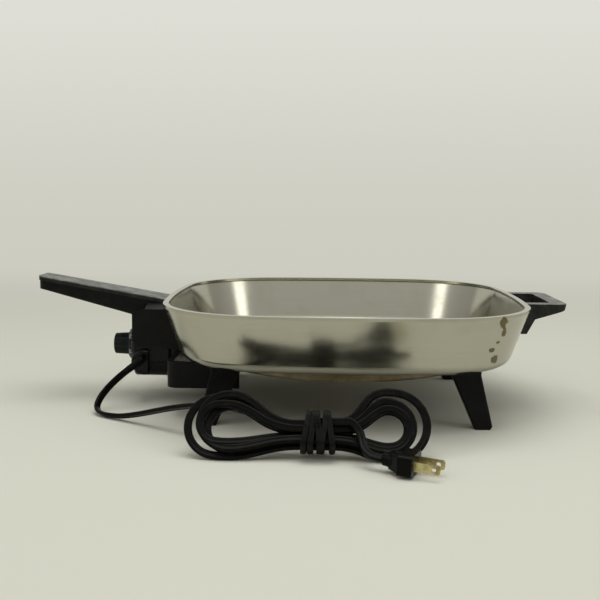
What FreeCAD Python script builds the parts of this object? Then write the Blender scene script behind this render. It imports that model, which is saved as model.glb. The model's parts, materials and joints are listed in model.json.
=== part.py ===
import FreeCAD, Part
import math
import os
from FreeCAD import Vector

# Electric skillet: a square stainless pan on four moulded legs, with a long handle,
# a helper handle and a plug-in heat control on a corded lead.
# Lengths are millimetres, Z is up from the table, -X is the long handle's side and
# the shapes are built about the pan's centre, then shifted so the box is centred.

# Pan
rim_height = 93.5
rim_half = 150.0
side_radius = 750.0
corner_radius = 88.0
pan_depth = 45.5
pan_draft = 16.0
pan_wall = 1.6
pan_base_radius = 11.0
lip_width = 4.6
lip_thickness = 2.2

# Heat plate, element and probe well
plate_inset = 36.0
plate_thickness = 9.0
plate_edge_radius = 3.0
element_ring_inset = 26.0
element_rise = 0.6
element_radius = 3.5
element_bend_radius = 12.0
pin_spacing = 28.0
pin_radius = 2.8
pin_length = 29.0
bushing_radius = 4.8
bushing_length = 9.0
well_radius = 4.4
well_wall = 0.7
well_length = 74.0
stem_radius = 3.2
stem_length = 74.0
channel_clearance = 0.3

# Legs
leg_top_width = 23.0
leg_top_depth = 14.0
leg_foot_width = 14.5
leg_foot_depth = 11.0
leg_bearing = 43.95
leg_clearance = 1.28
leg_splay_x = 9.5
leg_splay_y = 5.0
leg_straight = 5.0
leg_corner = 2.0
bracket_thickness = 1.5
bracket_drop = 17.0
bracket_tab = 8.0
bracket_reach = 9.0
bracket_inset = 6.0

# Terminal guard between the left legs
guard_nose_inset = 7.0
guard_wall = 5.0
guard_drop = 21.0
guard_gap = 3.0
guard_corner = 8.0
spine_half = 29.0
cheek_thickness = 4.0
cheek_overhang = 30.0
cheek_top_drop = 11.0
cheek_bottom_drop = 43.0
roof_rise = 4.0
roof_thickness = 2.6
window_half = 22.5
window_floor_drop = 61.0

# Long handle
handle_length = 112.5
handle_standoff = 2.0
handle_width = 36.0
handle_tip_width = 32.0
handle_tip_top = 11.0
handle_tip_bottom = 3.6
handle_root_top = -8.0
handle_root_bottom = -26.5
handle_cap_thickness = 3.6
cap_overhang = 0.6
handle_cavity_half = 12.5
handle_cavity_share = 0.551
handle_floor = 3.2
handle_tip_radius = 7.0
tongue_thickness = 2.1
nut_half = 3.5
nut_height = 2.4
handle_screw_first = 0.1422
handle_screw_pitch = 0.1244
handle_tongue_end = 0.0711

# Helper handle
helper_length = 34.0
helper_half = 45.0
helper_top = -1.2
helper_tip_thickness = 5.2
helper_knee = 7.0
helper_knee_drop = 13.8
helper_foot_drop = 26.0
helper_foot = 0.5
helper_bar = 12.5
helper_arm = 12.0
helper_corner = 9.0
helper_gap_corner = 4.0
helper_tip_lean = 2.5
helper_seat = 3.5
stud_radius = 4.2
stud_length = 14.0
helper_screw_spacing = 48.0

# Plug-in heat control
control_face = 31.0
control_split = 17.0
control_back = 0.0
control_half = 28.0
control_floor_drop = 71.8
control_top_drop = 29.5
control_upper_radius = 6.0
control_lower_radius = 17.0
control_wall = 2.4
nose_half = 20.5
nose_reach = 11.0
nose_below_pins = 7.6
nose_above_pins = 7.4
sleeve_wall = 0.8
sleeve_length = 22.0
sleeve_slot = 1.0
sleeve_recess = 1.5
dial_drop = 46.0
shaft_radius = 3.0
skirt_radius = 17.1
skirt_front_radius = 12.6
skirt_thickness = 6.0
skirt_gap = 1.0
knob_radius = 9.8
knob_tip_radius = 9.0
knob_length = 13.5
knob_flutes = 14
knob_flute_radius = 0.9
shaft_end = 19.5
boss_radius = 11.0
boss_height = 5.0
boss_drop = 57.0
boss_setback = 3.5
frame_low_drop = 66.0
frame_thickness = 9.0
frame_half = 17.0
frame_depth = 5.0
frame_setback = 1.5
blade_strip = 0.8
blade_y = -9.0
case_screw_radius = 1.6
case_screw_y = 19.0
case_screw_drop = 7.0
post_wall = 1.8

# Flat two-core cord, its hank and its plug
cord_diameter = 4.4
hank_pitch = 4.9
hank_lean = 35.0
hank_base_y = -157.0
hank_left_centre = 84.5
hank_right_centre = 201.5
hank_left_top = 54.0
hank_right_top = 52.0
hank_waist_left = 139.5
hank_waist_right = 161.5
hank_waist_floor = 9.0
hank_depth_count = 3
tie_wall = 2.0
tie_wraps = 5
strain_wall = 1.6
strain_setback = 4.0
strain_length = 10.0
plug_length = 22.0
plug_width = 23.0
plug_height = 14.0
plug_neck_radius = 4.6
blade_spacing = 12.7
blade_width = 6.35
blade_thickness = 1.5
blade_length = 17.5
blade_hole_radius = 1.6
blade_hole_setback = 4.2
blade_root = 6.0

# Clearances
running_clearance = 0.06
screw_clearance = 0.1
seat_gap = 0.3
screw_radius = 2.0
screw_head_radius = 3.6
screw_head_height = 2.2
head_clearance = 0.4
screw_grip = 8.5

plate_radius = rim_half - plate_inset
element_ring_radius = plate_radius - element_ring_inset
leg_inner_x = (plate_radius + leg_clearance) * math.cos(math.radians(leg_bearing))
leg_face_y = (plate_radius + leg_clearance) * math.sin(math.radians(leg_bearing))
bracket_inner_x = leg_inner_x + bracket_inset
guard_nose_x = rim_half - guard_nose_inset
cheek_reach = rim_half + cheek_overhang
handle_root = rim_half + handle_standoff
handle_reach = handle_root + handle_length
helper_reach = rim_half + helper_length
helper_knee_x = rim_half + helper_knee
helper_foot_x = rim_half + helper_foot
control_face_x = rim_half + control_face
control_split_x = rim_half + control_split
control_back_x = rim_half + control_back
nose_front_x = rim_half - nose_reach
shaft_end_x = rim_half + shaft_end
pan_bottom = rim_height - pan_depth
plate_bottom = pan_bottom - plate_thickness
pin_height = plate_bottom + element_radius + element_rise
nose_bottom = pin_height - nose_below_pins
nose_top = pin_height + nose_above_pins
dial_height = rim_height - dial_drop
wall_slope = pan_draft / pan_depth
model_shift = (handle_reach + cap_overhang - helper_reach) / 2.0
X_AXIS = Vector(1, 0, 0)
Y_AXIS = Vector(0, 1, 0)
Z_AXIS = Vector(0, 0, 1)


def export(shape, name):
    """Centre one sub-part in the shared frame and write it."""
    placed = shape.copy()
    placed.translate(Vector(model_shift, 0, 0))
    if not placed.isValid():
        print("INVALID", name)
    placed.exportStep("parts/%s.step" % name)
    print("%-20s solids %2d volume %10.1f" % (name, len(placed.Solids), placed.Volume))


def box(x0, x1, y0, y1, z0, z1):
    return Part.makeBox(x1 - x0, y1 - y0, z1 - z0, Vector(x0, y0, z0))


def rod(radius, start, end):
    """Round bar between two points."""
    axis = end - start
    return Part.makeCylinder(radius, axis.Length, start, axis)


def tube(outer, inner, start, end):
    return rod(outer, start, end).cut(rod(inner, start, end))


def prism(points, direction):
    """Straight extrusion of a closed polygon."""
    wire = Part.makePolygon(points + [points[0]])
    return Part.Face(wire).extrude(direction)


def mirrored(shape):
    """Copy on the other side of the pan's long axis."""
    return shape.mirror(Vector(0, 0, 0), Y_AXIS)


def edges_along(shape, direction, keep):
    """Straight edges parallel to a direction whose middle passes a test."""
    found = []
    for edge in shape.Edges:
        if edge.Curve.TypeId != "Part::GeomLine":
            continue
        ends = [v.Point for v in edge.Vertexes]
        line = (ends[1] - ends[0]).normalize()
        if abs(abs(line.dot(direction)) - 1) < 1e-4 and keep((ends[0] + ends[1]) / 2):
            found.append(edge)
    return found


def edges_at_height(shape, height):
    return [e for e in shape.Edges if all(abs(v.Z - height) < 1e-4 for v in e.Vertexes)]


# Pan shell
def pan_outline(inset, height):
    """Bowed square made of four side arcs and four corner arcs."""
    side = side_radius - inset
    corner = corner_radius - inset
    offset = side_radius - rim_half
    spread = math.sqrt(2 * (side_radius - corner_radius) ** 2 - offset ** 2)
    centre = (spread - offset) / 2
    blend = math.atan2(centre, centre + offset)
    edges = []
    for quarter in range(4):
        turn = quarter * math.pi / 2
        home = Vector(-offset, 0, height)
        knee = Vector(centre, centre, height)
        side_points = [home + polar(side, a) for a in (-blend, 0, blend)]
        corner_angles = (blend, math.pi / 4, math.pi / 2 - blend)
        corner_points = [knee + polar(corner, a) for a in corner_angles]
        for points in (side_points, corner_points):
            turned = [spin(p, turn) for p in points]
            edges.append(Part.Arc(*turned).toShape())
    return Part.Wire(edges)


def polar(radius, angle):
    return Vector(radius * math.cos(angle), radius * math.sin(angle), 0)


def spin(point, angle):
    c, s = math.cos(angle), math.sin(angle)
    return Vector(point.x * c - point.y * s, point.x * s + point.y * c, point.z)


def inset_at(height):
    """How far the outside of the wall has come in from the rim."""
    return (rim_height - height) * wall_slope


def pan_envelope(gap):
    """Solid outside of the pan, grown by a gap, for trimming what seats against it."""
    low = pan_bottom - 30
    high = rim_height + 30
    wires = [pan_outline(inset_at(z) - gap, z) for z in (low, high)]
    wall = Part.makeLoft(wires, True, True)
    lip_low = rim_height - lip_thickness - gap
    lip = Part.Face(pan_outline(-gap, lip_low)).extrude(Z_AXIS * (rim_height - lip_low))
    return wall.fuse(lip)


def pan_shell():
    bottom_inset = inset_at(pan_bottom)
    outer = Part.makeLoft([pan_outline(bottom_inset, pan_bottom),
                           pan_outline(0, rim_height)], True, True)
    outer = outer.makeFillet(pan_base_radius, edges_at_height(outer, pan_bottom))
    floor = pan_bottom + pan_wall
    inner = Part.makeLoft([pan_outline(inset_at(floor) + pan_wall, floor),
                           pan_outline(pan_wall, rim_height)], True, True)
    inner = inner.makeFillet(pan_base_radius - pan_wall, edges_at_height(inner, floor))
    shell = outer.cut(inner)
    lip_low = rim_height - lip_thickness
    band = Part.Face(pan_outline(0, lip_low)).extrude(Z_AXIS * lip_thickness)
    mouth = Part.Face(pan_outline(lip_width, lip_low)).extrude(Z_AXIS * lip_thickness)
    return shell.fuse(band.cut(mouth)).removeSplitter()


# Heat plate, element and terminals
def element_path(height):
    """Ring with two tails that turn out to the terminal side."""
    tail_y = pin_spacing / 2
    reach = element_ring_radius + element_bend_radius
    bend_y = tail_y + element_bend_radius
    bend_x = -math.sqrt(reach ** 2 - bend_y ** 2)
    lean = math.atan2(-bend_y, -bend_x)
    bend_centre = Vector(bend_x, bend_y, height)
    start = Vector(terminal_x(), tail_y, height)
    turn_in = Vector(bend_x, tail_y, height)
    half_angle = (lean - math.pi / 2) / 2
    middle = bend_centre + polar(element_bend_radius, half_angle)
    touch = bend_centre + polar(element_bend_radius, lean)
    flip = lambda p: Vector(p.x, -p.y, p.z)
    top = Vector(0, element_ring_radius, height)
    right = Vector(element_ring_radius, 0, height)
    diagonal = polar(element_ring_radius, math.pi * 0.8) + Vector(0, 0, height)
    quarter = polar(element_ring_radius, math.pi / 4) + Vector(0, 0, height)
    half = [Part.makeLine(start, turn_in),
            Part.Arc(turn_in, middle, touch).toShape(),
            Part.Arc(touch, diagonal, top).toShape(),
            Part.Arc(top, quarter, right).toShape()]
    back = [Part.Arc(right, flip(quarter), flip(top)).toShape(),
            Part.Arc(flip(top), flip(diagonal), flip(touch)).toShape(),
            Part.Arc(flip(touch), flip(middle), flip(turn_in)).toShape(),
            Part.makeLine(flip(turn_in), flip(start))]
    return Part.Wire(half + back)


def terminal_x():
    """Where the element's cold ends meet the terminal pins."""
    return -(rim_half - pan_draft)


def swept_disc(path, radius, start, direction):
    disc = Part.Wire(Part.makeCircle(radius, start, direction))
    return path.makePipeShell([disc], True, False)


def heating_element():
    path = element_path(pin_height)
    start = Vector(terminal_x(), pin_spacing / 2, pin_height)
    return swept_disc(path, element_radius, start, X_AXIS)


def heat_plate():
    plate = Part.makeCylinder(plate_radius, plate_thickness, Vector(0, 0, plate_bottom))
    plate = plate.makeFillet(plate_edge_radius, edges_at_height(plate, plate_bottom))
    half = element_radius + channel_clearance
    x, y = terminal_x(), pin_spacing / 2
    low = plate_bottom - 1
    left, right = Vector(x, y - half, pin_height), Vector(x, y + half, pin_height)
    crown = Vector(x, y, pin_height + half)
    foot_left, foot_right = Vector(x, y - half, low), Vector(x, y + half, low)
    profile = Part.Wire([Part.makeLine(foot_left, left),
                         Part.Arc(left, crown, right).toShape(),
                         Part.makeLine(right, foot_right),
                         Part.makeLine(foot_right, foot_left)])
    channel = element_path(pin_height).makePipeShell([profile], True, False)
    plate = plate.cut(channel)
    bore = well_radius + channel_clearance / 2
    well_end = Vector(terminal_x() + well_length, 0, pin_height)
    plate = plate.cut(rod(bore, Vector(-plate_radius - 5, 0, pin_height), well_end))
    return plate.cut(box(-plate_radius - 5, well_end.x, -bore, bore, low, pin_height))


def probe_well():
    start = Vector(terminal_x(), 0, pin_height)
    end = start + X_AXIS * well_length
    outer = rod(well_radius, start, end)
    return outer.cut(rod(well_radius - well_wall, start, end - X_AXIS * well_wall))


def terminal_pins():
    pins = []
    for side in (-1, 1):
        start = Vector(terminal_x(), side * pin_spacing / 2, pin_height)
        pin = rod(pin_radius, start - X_AXIS * pin_length, start)
        tip = [e for e in pin.Edges if abs(e.BoundBox.XMax - start.x + pin_length) < 1e-4]
        pins.append(pin.makeFillet(pin_radius * 0.6, tip))
    return Part.makeCompound(pins)


def terminal_bushings():
    bushings = []
    for side in (-1, 1):
        start = Vector(terminal_x(), side * pin_spacing / 2, pin_height)
        end = start + X_AXIS * bushing_length
        bushings.append(tube(bushing_radius, element_radius, start, end))
    return Part.makeCompound(bushings)


# Legs and their brackets
def rounded_block(x0, x1, y0, y1, height, radius):
    """Closed wire of a rectangle with round corners at one height."""
    flat = box(x0, x1, y0, y1, height, height + 1)
    flat = flat.makeFillet(radius, edges_along(flat, Z_AXIS, lambda p: True))
    face = [f for f in flat.Faces if abs(f.BoundBox.ZMax - height) < 1e-6]
    return face[0].OuterWire


def leg(side_x):
    """One tapered leg on the near side, splayed outwards and forwards."""
    top = pan_bottom - bracket_thickness
    inner, outer = leg_inner_x, leg_inner_x + leg_top_width
    near = -leg_face_y - leg_top_depth
    knee = top - leg_straight
    foot_inner = outer + leg_splay_x - leg_foot_width
    foot_near = near - leg_splay_y
    wires = [rounded_block(foot_inner, foot_inner + leg_foot_width, foot_near,
                           foot_near + leg_foot_depth, 0, leg_corner),
             rounded_block(inner, outer, near, -leg_face_y, knee, leg_corner),
             rounded_block(inner, outer, near, -leg_face_y, top, leg_corner)]
    body = Part.makeLoft(wires, True, True)
    toe = foot_inner + leg_foot_width
    chamfer = leg_corner * 1.6
    corner = prism([Vector(toe - chamfer, foot_near - 1, -0.01),
                    Vector(toe + chamfer, foot_near - 1, -0.01),
                    Vector(toe + chamfer, foot_near - 1, chamfer * 2)],
                   Y_AXIS * (leg_foot_depth + 2))
    body = body.cut(corner)
    screw = leg_screw_place()
    bore = rod(screw_radius + screw_clearance, screw, screw - Y_AXIS * (screw_grip + 1))
    body = body.cut(bore)
    if side_x < 0:
        body = body.mirror(Vector(0, 0, 0), X_AXIS)
    return body


def leg_screw_place():
    """Where the leg's screw enters its inner face, on the near right leg."""
    drop = bracket_drop * 0.55
    return Vector(leg_inner_x + leg_top_width / 2, -leg_face_y, pan_bottom - drop)


def leg_bracket(side_x):
    """Steel angle spot-welded under the pan behind one near leg."""
    inset = guard_wall if side_x < 0 else 0.0
    face = -leg_face_y + inset
    top, low = pan_bottom, pan_bottom - bracket_thickness
    outer = leg_inner_x + leg_top_width + (bracket_tab if side_x < 0 else -2.0)
    shelf = box(bracket_inner_x, outer, -leg_face_y - bracket_reach, face + bracket_thickness,
                low, top)
    drop = box(bracket_inner_x, leg_inner_x + leg_top_width - 3, face,
               face + bracket_thickness, pan_bottom - bracket_drop, low)
    screw = leg_screw_place()
    hole = rod(screw_radius + screw_clearance, screw, screw + Y_AXIS * (inset + 5))
    angle = shelf.fuse(drop).cut(hole)
    if side_x < 0:
        angle = angle.mirror(Vector(0, 0, 0), X_AXIS)
    return angle


def leg_brackets():
    near = [leg_bracket(side) for side in (-1, 1)]
    return Part.makeCompound(near + [mirrored(part) for part in near])


def pan_head_screw(start, direction, grip):
    """Screw with its head's underside at the start point."""
    shank = rod(screw_radius, start, start + direction * grip)
    head = rod(screw_head_radius, start - direction * screw_head_height, start)
    rim = [e for e in head.Edges
           if e.Curve.TypeId == "Part::GeomCircle"
           and (e.Curve.Center - start).Length > screw_head_height / 2]
    head = head.makeFillet(screw_head_height * 0.45, rim)
    return head.fuse(shank)


def leg_screws():
    screws = []
    for side in (-1, 1):
        inset = guard_wall if side < 0 else 0.0
        place = leg_screw_place()
        place.x *= side
        place.y += inset + bracket_thickness
        screw = pan_head_screw(place, -Y_AXIS, inset + bracket_thickness + screw_grip)
        screws += [screw, mirrored(screw)]
    return Part.makeCompound(screws)


# Terminal guard: apron between the left legs, spine up the wall and two cheeks
def wall_point(drop, gap):
    """X of the left wall's outside plus a gap, at a drop below the rim."""
    return -(rim_half - drop * wall_slope) - gap


def guard_apron():
    top = pan_bottom - bracket_thickness
    low = top - guard_drop
    nose, inner = -guard_nose_x, -leg_inner_x - 1.5
    skirt = box(nose, inner, -leg_face_y, leg_face_y, low, top)
    outer_corners = edges_along(skirt, Z_AXIS, lambda p: p.x < nose + 1)
    skirt = skirt.makeFillet(guard_corner, outer_corners)
    hollow = box(nose + guard_wall, inner + 1, -leg_face_y + guard_wall,
                 leg_face_y - guard_wall, low - 1, top + 1)
    corners = edges_along(hollow, Z_AXIS, lambda p: p.x < nose + guard_wall + 1)
    hollow = hollow.makeFillet(guard_corner - guard_wall, corners)
    return skirt.cut(hollow)


def guard_spine():
    """Plate that stands off the drafted wall by the guard gap."""
    head_drop = cheek_top_drop + 18
    foot_drop = pan_depth + bracket_thickness
    points = [Vector(wall_point(head_drop, guard_gap), -spine_half, rim_height - head_drop),
              Vector(wall_point(foot_drop, guard_gap), -spine_half, rim_height - foot_drop),
              Vector(-guard_nose_x, -spine_half, rim_height - foot_drop),
              Vector(wall_point(head_drop, guard_gap + guard_wall), -spine_half,
                     rim_height - head_drop)]
    return prism(points, Y_AXIS * (2 * spine_half))


def guard_cheek():
    """Side plate that covers the control on the near side."""
    outer = -spine_half - cheek_thickness
    base_drop = pan_depth + bracket_thickness
    reach = -cheek_reach
    outline = [(reach, cheek_top_drop + 3.0), (reach + 11, cheek_top_drop),
               (wall_point(cheek_top_drop, guard_gap), cheek_top_drop),
               (wall_point(base_drop, guard_gap), base_drop),
               (-guard_nose_x, base_drop),
               (-guard_nose_x - 8, cheek_bottom_drop),
               (reach + 5, cheek_bottom_drop), (reach, cheek_bottom_drop - 5)]
    points = [Vector(x, outer, rim_height - drop) for x, drop in outline]
    return prism(points, Y_AXIS * cheek_thickness)


def guard_roof():
    """Sloping shoulder from the cheek's top in towards the handle."""
    outer = -spine_half - cheek_thickness
    inner = -handle_width / 2 - cap_overhang - seat_gap
    base = rim_height - cheek_top_drop
    x0 = -cheek_reach + 11
    points = [Vector(x0, outer, base), Vector(x0, inner, base + roof_rise),
              Vector(x0, inner, base + roof_rise - roof_thickness),
              Vector(x0, -spine_half, base - roof_thickness),
              Vector(x0, outer, base - roof_thickness)]
    length = -x0 + wall_point(0, guard_gap)
    return prism(points, X_AXIS * length)


def terminal_guard():
    half = guard_cheek().fuse(guard_roof())
    body = guard_apron().multiFuse([guard_spine(), half, mirrored(half)])
    window = box(-guard_nose_x - 12, -guard_nose_x + guard_wall + 8, -window_half,
                 window_half, rim_height - window_floor_drop, nose_top + 1.0)
    body = body.cut(window).cut(pan_envelope(seat_gap))
    for side in (-1, 1):
        place = leg_screw_place()
        start = Vector(-place.x, side * (leg_face_y + 1), place.z)
        end = Vector(-place.x, side * (leg_face_y - guard_wall - 1), place.z)
        body = body.cut(rod(screw_radius + screw_clearance, start, end))
    return body.removeSplitter()


# Long handle
def handle_section(x, half, low, high, radius):
    """Round-cornered section across the handle."""
    block = box(x, x + 1, -half, half, low, high)
    block = block.makeFillet(radius, edges_along(block, X_AXIS, lambda p: p.z < high - 1e-3))
    face = [f for f in block.Faces if f.BoundBox.XMax - x < 1e-6]
    return face[0].OuterWire


def handle_line(x, tip, root):
    """Height on a straight handle line that runs from the tip to the root."""
    share = (handle_reach - abs(x)) / (handle_reach - handle_root)
    return rim_height + tip + (root - tip) * share


def handle_plan(tip, half, radius):
    """Tall block with a round-cornered end, for shaping the handle's tip in plan."""
    taper = (handle_width - handle_tip_width) / 2
    low, high = rim_height - 60, rim_height + 60
    block = box(tip, -handle_root + 40, -half + taper, half - taper, low, high)
    block = block.makeFillet(radius, edges_along(block, Z_AXIS, lambda p: p.x < tip + 1))
    return block.fuse(box(tip + 2 * radius, -handle_root + 40, -half, half, low, high))


def handle_body():
    top_gap = handle_cap_thickness
    wires = []
    for x, half in ((-handle_reach, handle_tip_width / 2), (-handle_root + 14, handle_width / 2)):
        low = handle_line(x, handle_tip_bottom, handle_root_bottom)
        high = handle_line(x, handle_tip_top, handle_root_top)
        wires.append(handle_section(x, half, low, high, 2.6))
    grip = Part.makeLoft(wires, True, True)
    grip = grip.common(handle_plan(-handle_reach, handle_width / 2 + 1, handle_tip_radius))
    cavity_end = -handle_root - handle_length * handle_cavity_share
    cavity = []
    for x in (cavity_end, -handle_root + 20):
        low = handle_line(x, handle_tip_bottom, handle_root_bottom) + handle_floor
        high = handle_line(x, handle_tip_top, handle_root_top) + 5
        cavity.append(handle_section(x, handle_cavity_half, low, high, 1.5))
    grip = grip.cut(Part.makeLoft(cavity, True, True))
    for start in handle_screw_places():
        grip = grip.cut(rod(screw_radius + screw_clearance, start - Z_AXIS * 20,
                            start + Z_AXIS * 20))
        grip = grip.cut(rod(screw_head_radius + head_clearance, start - Z_AXIS * 20, start))
    return grip.cut(pan_envelope(seat_gap))


def handle_screw_places():
    """Seats of the two handle screws on the cavity floor's underside."""
    places = []
    for index in range(2):
        x = -handle_root - handle_length * (handle_screw_first + index * handle_screw_pitch)
        low = handle_line(x, handle_tip_bottom, handle_root_bottom)
        places.append(Vector(x, 0, low + handle_floor * 0.45))
    return places


def handle_cap():
    """Separate top strip with an overhanging edge and a rounded tip."""
    half_tip = handle_tip_width / 2 + cap_overhang
    half_root = handle_width / 2 + cap_overhang
    wires = []
    for x, half in ((-handle_reach - cap_overhang, half_tip), (-handle_root + 14, half_root)):
        low = handle_line(x, handle_tip_top, handle_root_top)
        high = low + handle_cap_thickness
        block = box(x, x + 1, -half, half, low, high)
        rounded = edges_along(block, X_AXIS, lambda p: p.z > high - 1e-3)
        block = block.makeFillet(1.4, rounded)
        face = [f for f in block.Faces if f.BoundBox.XMax - x < 1e-6]
        wires.append(face[0].OuterWire)
    strip = Part.makeLoft(wires, True, True)
    strip = strip.common(handle_plan(-handle_reach - cap_overhang, half_root + 1, handle_tip_radius))
    return strip.cut(pan_envelope(seat_gap))


def handle_bracket():
    """Steel tongue on a foot that is welded to the wall, inside the handle."""
    tongue_low = bracket_height()
    thick = tongue_thickness
    far = tongue_end()
    half = handle_cavity_half - 1.5
    tongue = box(far, -handle_root + 14, -half, half, tongue_low, tongue_low + thick)
    foot = [(-handle_root + 12, tongue_low + thick), (wall_point(0, 2), tongue_low + thick),
            (wall_point(21, 2), rim_height - 21), (-handle_root + 12, rim_height - 21)]
    pad = prism([Vector(x, -half, z) for x, z in foot], Y_AXIS * (2 * half))
    bracket = tongue.fuse(pad).cut(pan_envelope(0))
    for start in handle_screw_places():
        bracket = bracket.cut(rod(screw_radius + screw_clearance, start - Z_AXIS * 20,
                                  start + Z_AXIS * 20))
    return bracket


def tongue_end():
    share = handle_screw_first + handle_screw_pitch + handle_tongue_end
    return -handle_root - handle_length * share


def bracket_height():
    """Underside of the tongue, clear of the rising cavity floor."""
    far = tongue_end()
    return handle_line(far, handle_tip_bottom, handle_root_bottom) + handle_floor + seat_gap


def handle_screws():
    screws = []
    top = bracket_height() + tongue_thickness
    for start in handle_screw_places():
        grip = top + nut_height - start.z
        screws.append(pan_head_screw(start, Z_AXIS, grip))
    return Part.makeCompound(screws)


def handle_nuts():
    """Square nuts on top of the tongue."""
    nuts = []
    top = bracket_height() + tongue_thickness
    for start in handle_screw_places():
        nut = box(start.x - nut_half, start.x + nut_half, -nut_half, nut_half, top,
                  top + nut_height)
        nuts.append(nut.cut(rod(screw_radius + screw_clearance, start, start + Z_AXIS * 30)))
    return Part.makeCompound(nuts)


# Helper handle
def helper_handle():
    top = rim_height + helper_top
    tip, knee, foot = helper_reach, helper_knee_x, helper_foot_x
    inside = rim_half - 1.3 * pan_draft
    low, high = rim_height - helper_foot_drop, rim_height + helper_tip_thickness
    side = [(inside, top), (tip, top), (tip - helper_tip_lean, top - helper_tip_thickness),
            (knee, rim_height - helper_knee_drop), (foot, low), (inside, low)]
    body = prism([Vector(x, -helper_half, z) for x, z in side], Y_AXIS * (2 * helper_half))
    ends = box(inside, tip, -helper_half, helper_half, low, high)
    ends = ends.makeFillet(helper_corner, edges_along(ends, Z_AXIS, lambda p: p.x > tip - 1))
    body = body.common(ends)
    gap_half = helper_half - helper_arm
    hole = box(inside, tip - helper_bar, -gap_half, gap_half, rim_height - helper_knee_drop,
               high)
    far_corners = edges_along(hole, Z_AXIS, lambda p: p.x > tip - helper_bar - 1)
    hole = hole.makeFillet(helper_gap_corner, far_corners)
    body = body.cut(hole).cut(pan_envelope(seat_gap))
    for place in helper_screw_places():
        inward, outward = place - X_AXIS * helper_length, place + X_AXIS * helper_length
        body = body.cut(rod(screw_radius + screw_clearance, inward, outward))
        body = body.cut(rod(screw_head_radius + head_clearance, place, outward))
        body = body.cut(rod(stud_radius + seat_gap, inward, place - X_AXIS * helper_seat))
    return body


def helper_screw_places():
    """Seats of the helper handle's screws on its foot."""
    drop = (helper_knee_drop + helper_foot_drop) / 2
    x = helper_foot_x + (helper_knee_x - helper_foot_x) * 0.25
    half = helper_screw_spacing / 2
    return [Vector(x, y, rim_height - drop) for y in (-half, half)]


def helper_screws():
    screws = [pan_head_screw(p, -X_AXIS, 2 * helper_seat) for p in helper_screw_places()]
    return Part.makeCompound(screws)


def helper_studs():
    """Threaded bosses that are welded to the wall behind the foot."""
    studs = []
    for place in helper_screw_places():
        start = place - X_AXIS * (helper_seat + seat_gap)
        end = start - X_AXIS * stud_length
        stud = rod(stud_radius, end, start).cut(pan_envelope(0))
        studs.append(stud.cut(rod(screw_radius + screw_clearance, end, start)))
    return Part.makeCompound(studs)


# Heat control
def control_block(x0, x1, inset):
    """Control casing's section, drawn in by an inset, between two faces."""
    low = rim_height - control_floor_drop + inset
    high = rim_height - control_top_drop - inset
    half = control_half - inset
    block = box(x0, x1, -half, half, low, high)
    upper = edges_along(block, X_AXIS, lambda p: p.z > high - 1e-3)
    block = block.makeFillet(control_upper_radius - inset, upper)
    lower = edges_along(block, X_AXIS, lambda p: p.z < low + 1e-3)
    return block.makeFillet(control_lower_radius - inset, lower)


def control_case():
    """Dial side of the casing, with the shaft's hole and the cord boss."""
    case = control_block(-control_face_x, -control_split_x, 0)
    face_edges = [e for e in case.Edges if abs(e.BoundBox.XMax + control_face_x) < 1e-4]
    case = case.makeFillet(2.0, face_edges)
    boss_centre = cord_boss_centre()
    boss = rod(boss_radius, boss_centre + Y_AXIS * (boss_height + 3), boss_centre)
    rim = [e for e in boss.Edges
           if e.Curve.TypeId == "Part::GeomCircle" and e.BoundBox.YMax < boss_centre.y + 0.1]
    boss = boss.makeFillet(2.4, rim)
    split = -control_split_x
    boss = boss.common(box(split - control_face, split, boss_centre.y, 0, 0, rim_height))
    case = case.fuse(boss)
    case = case.cut(control_block(-control_face_x + control_wall, split + 1, control_wall))
    for place in case_screw_places():
        post = tube(case_screw_radius + post_wall, case_screw_radius + screw_clearance,
                    Vector(-control_face_x + control_wall, place.y, place.z),
                    Vector(split - seat_gap, place.y, place.z))
        case = case.fuse(post)
    shaft = Vector(-control_face_x - 5, 0, dial_height)
    case = case.cut(rod(shaft_radius + running_clearance, shaft, shaft + X_AXIS * 12))
    start, direction = cord_exit()
    return case.cut(rod(strain_radius() + 0.05, start - direction * 12, start + direction * 12))


def control_base():
    """Socket side of the casing, with the nose that enters the guard."""
    base = control_block(-control_split_x, -control_back_x, 0)
    hollow = control_block(-control_split_x - 1, -control_back_x - control_wall, control_wall)
    base = base.cut(hollow)
    nose = box(-control_back_x - control_wall, -nose_front_x, -nose_half, nose_half,
               nose_bottom, nose_top)
    nose = nose.makeFillet(3.0, edges_along(nose, X_AXIS, lambda p: True))
    base = base.fuse(nose)
    for side in (-1, 1):
        place = Vector(-control_split_x, side * pin_spacing / 2, pin_height)
        hole = pin_radius + seat_gap + sleeve_wall + seat_gap / 2
        base = base.cut(rod(hole, place, place + X_AXIS * control_half))
    for place in case_screw_places():
        base = base.cut(rod(case_screw_radius + screw_clearance, place - X_AXIS * control_wall,
                            place))
    centre = Vector(-control_split_x, 0, pin_height)
    return base.cut(rod(stem_radius, centre, centre + X_AXIS * control_half))


def case_screw_places():
    """Seats of the casing's two screws on its back face."""
    height = rim_height - control_top_drop - case_screw_drop
    return [Vector(-control_back_x, side * case_screw_y, height) for side in (-1, 1)]


def contact_sleeves():
    sleeves = []
    inner = pin_radius + seat_gap
    for side in (-1, 1):
        end = Vector(-nose_front_x - sleeve_recess, side * pin_spacing / 2, pin_height)
        sleeve = tube(inner + sleeve_wall, inner, end - X_AXIS * sleeve_length, end)
        slot = box(end.x - sleeve_length * 0.6, end.x + 1, end.y - sleeve_slot / 2,
                   end.y + sleeve_slot / 2, pin_height - 2 * inner, pin_height + 2 * inner)
        sleeves.append(sleeve.cut(slot))
    return Part.makeCompound(sleeves)


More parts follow.
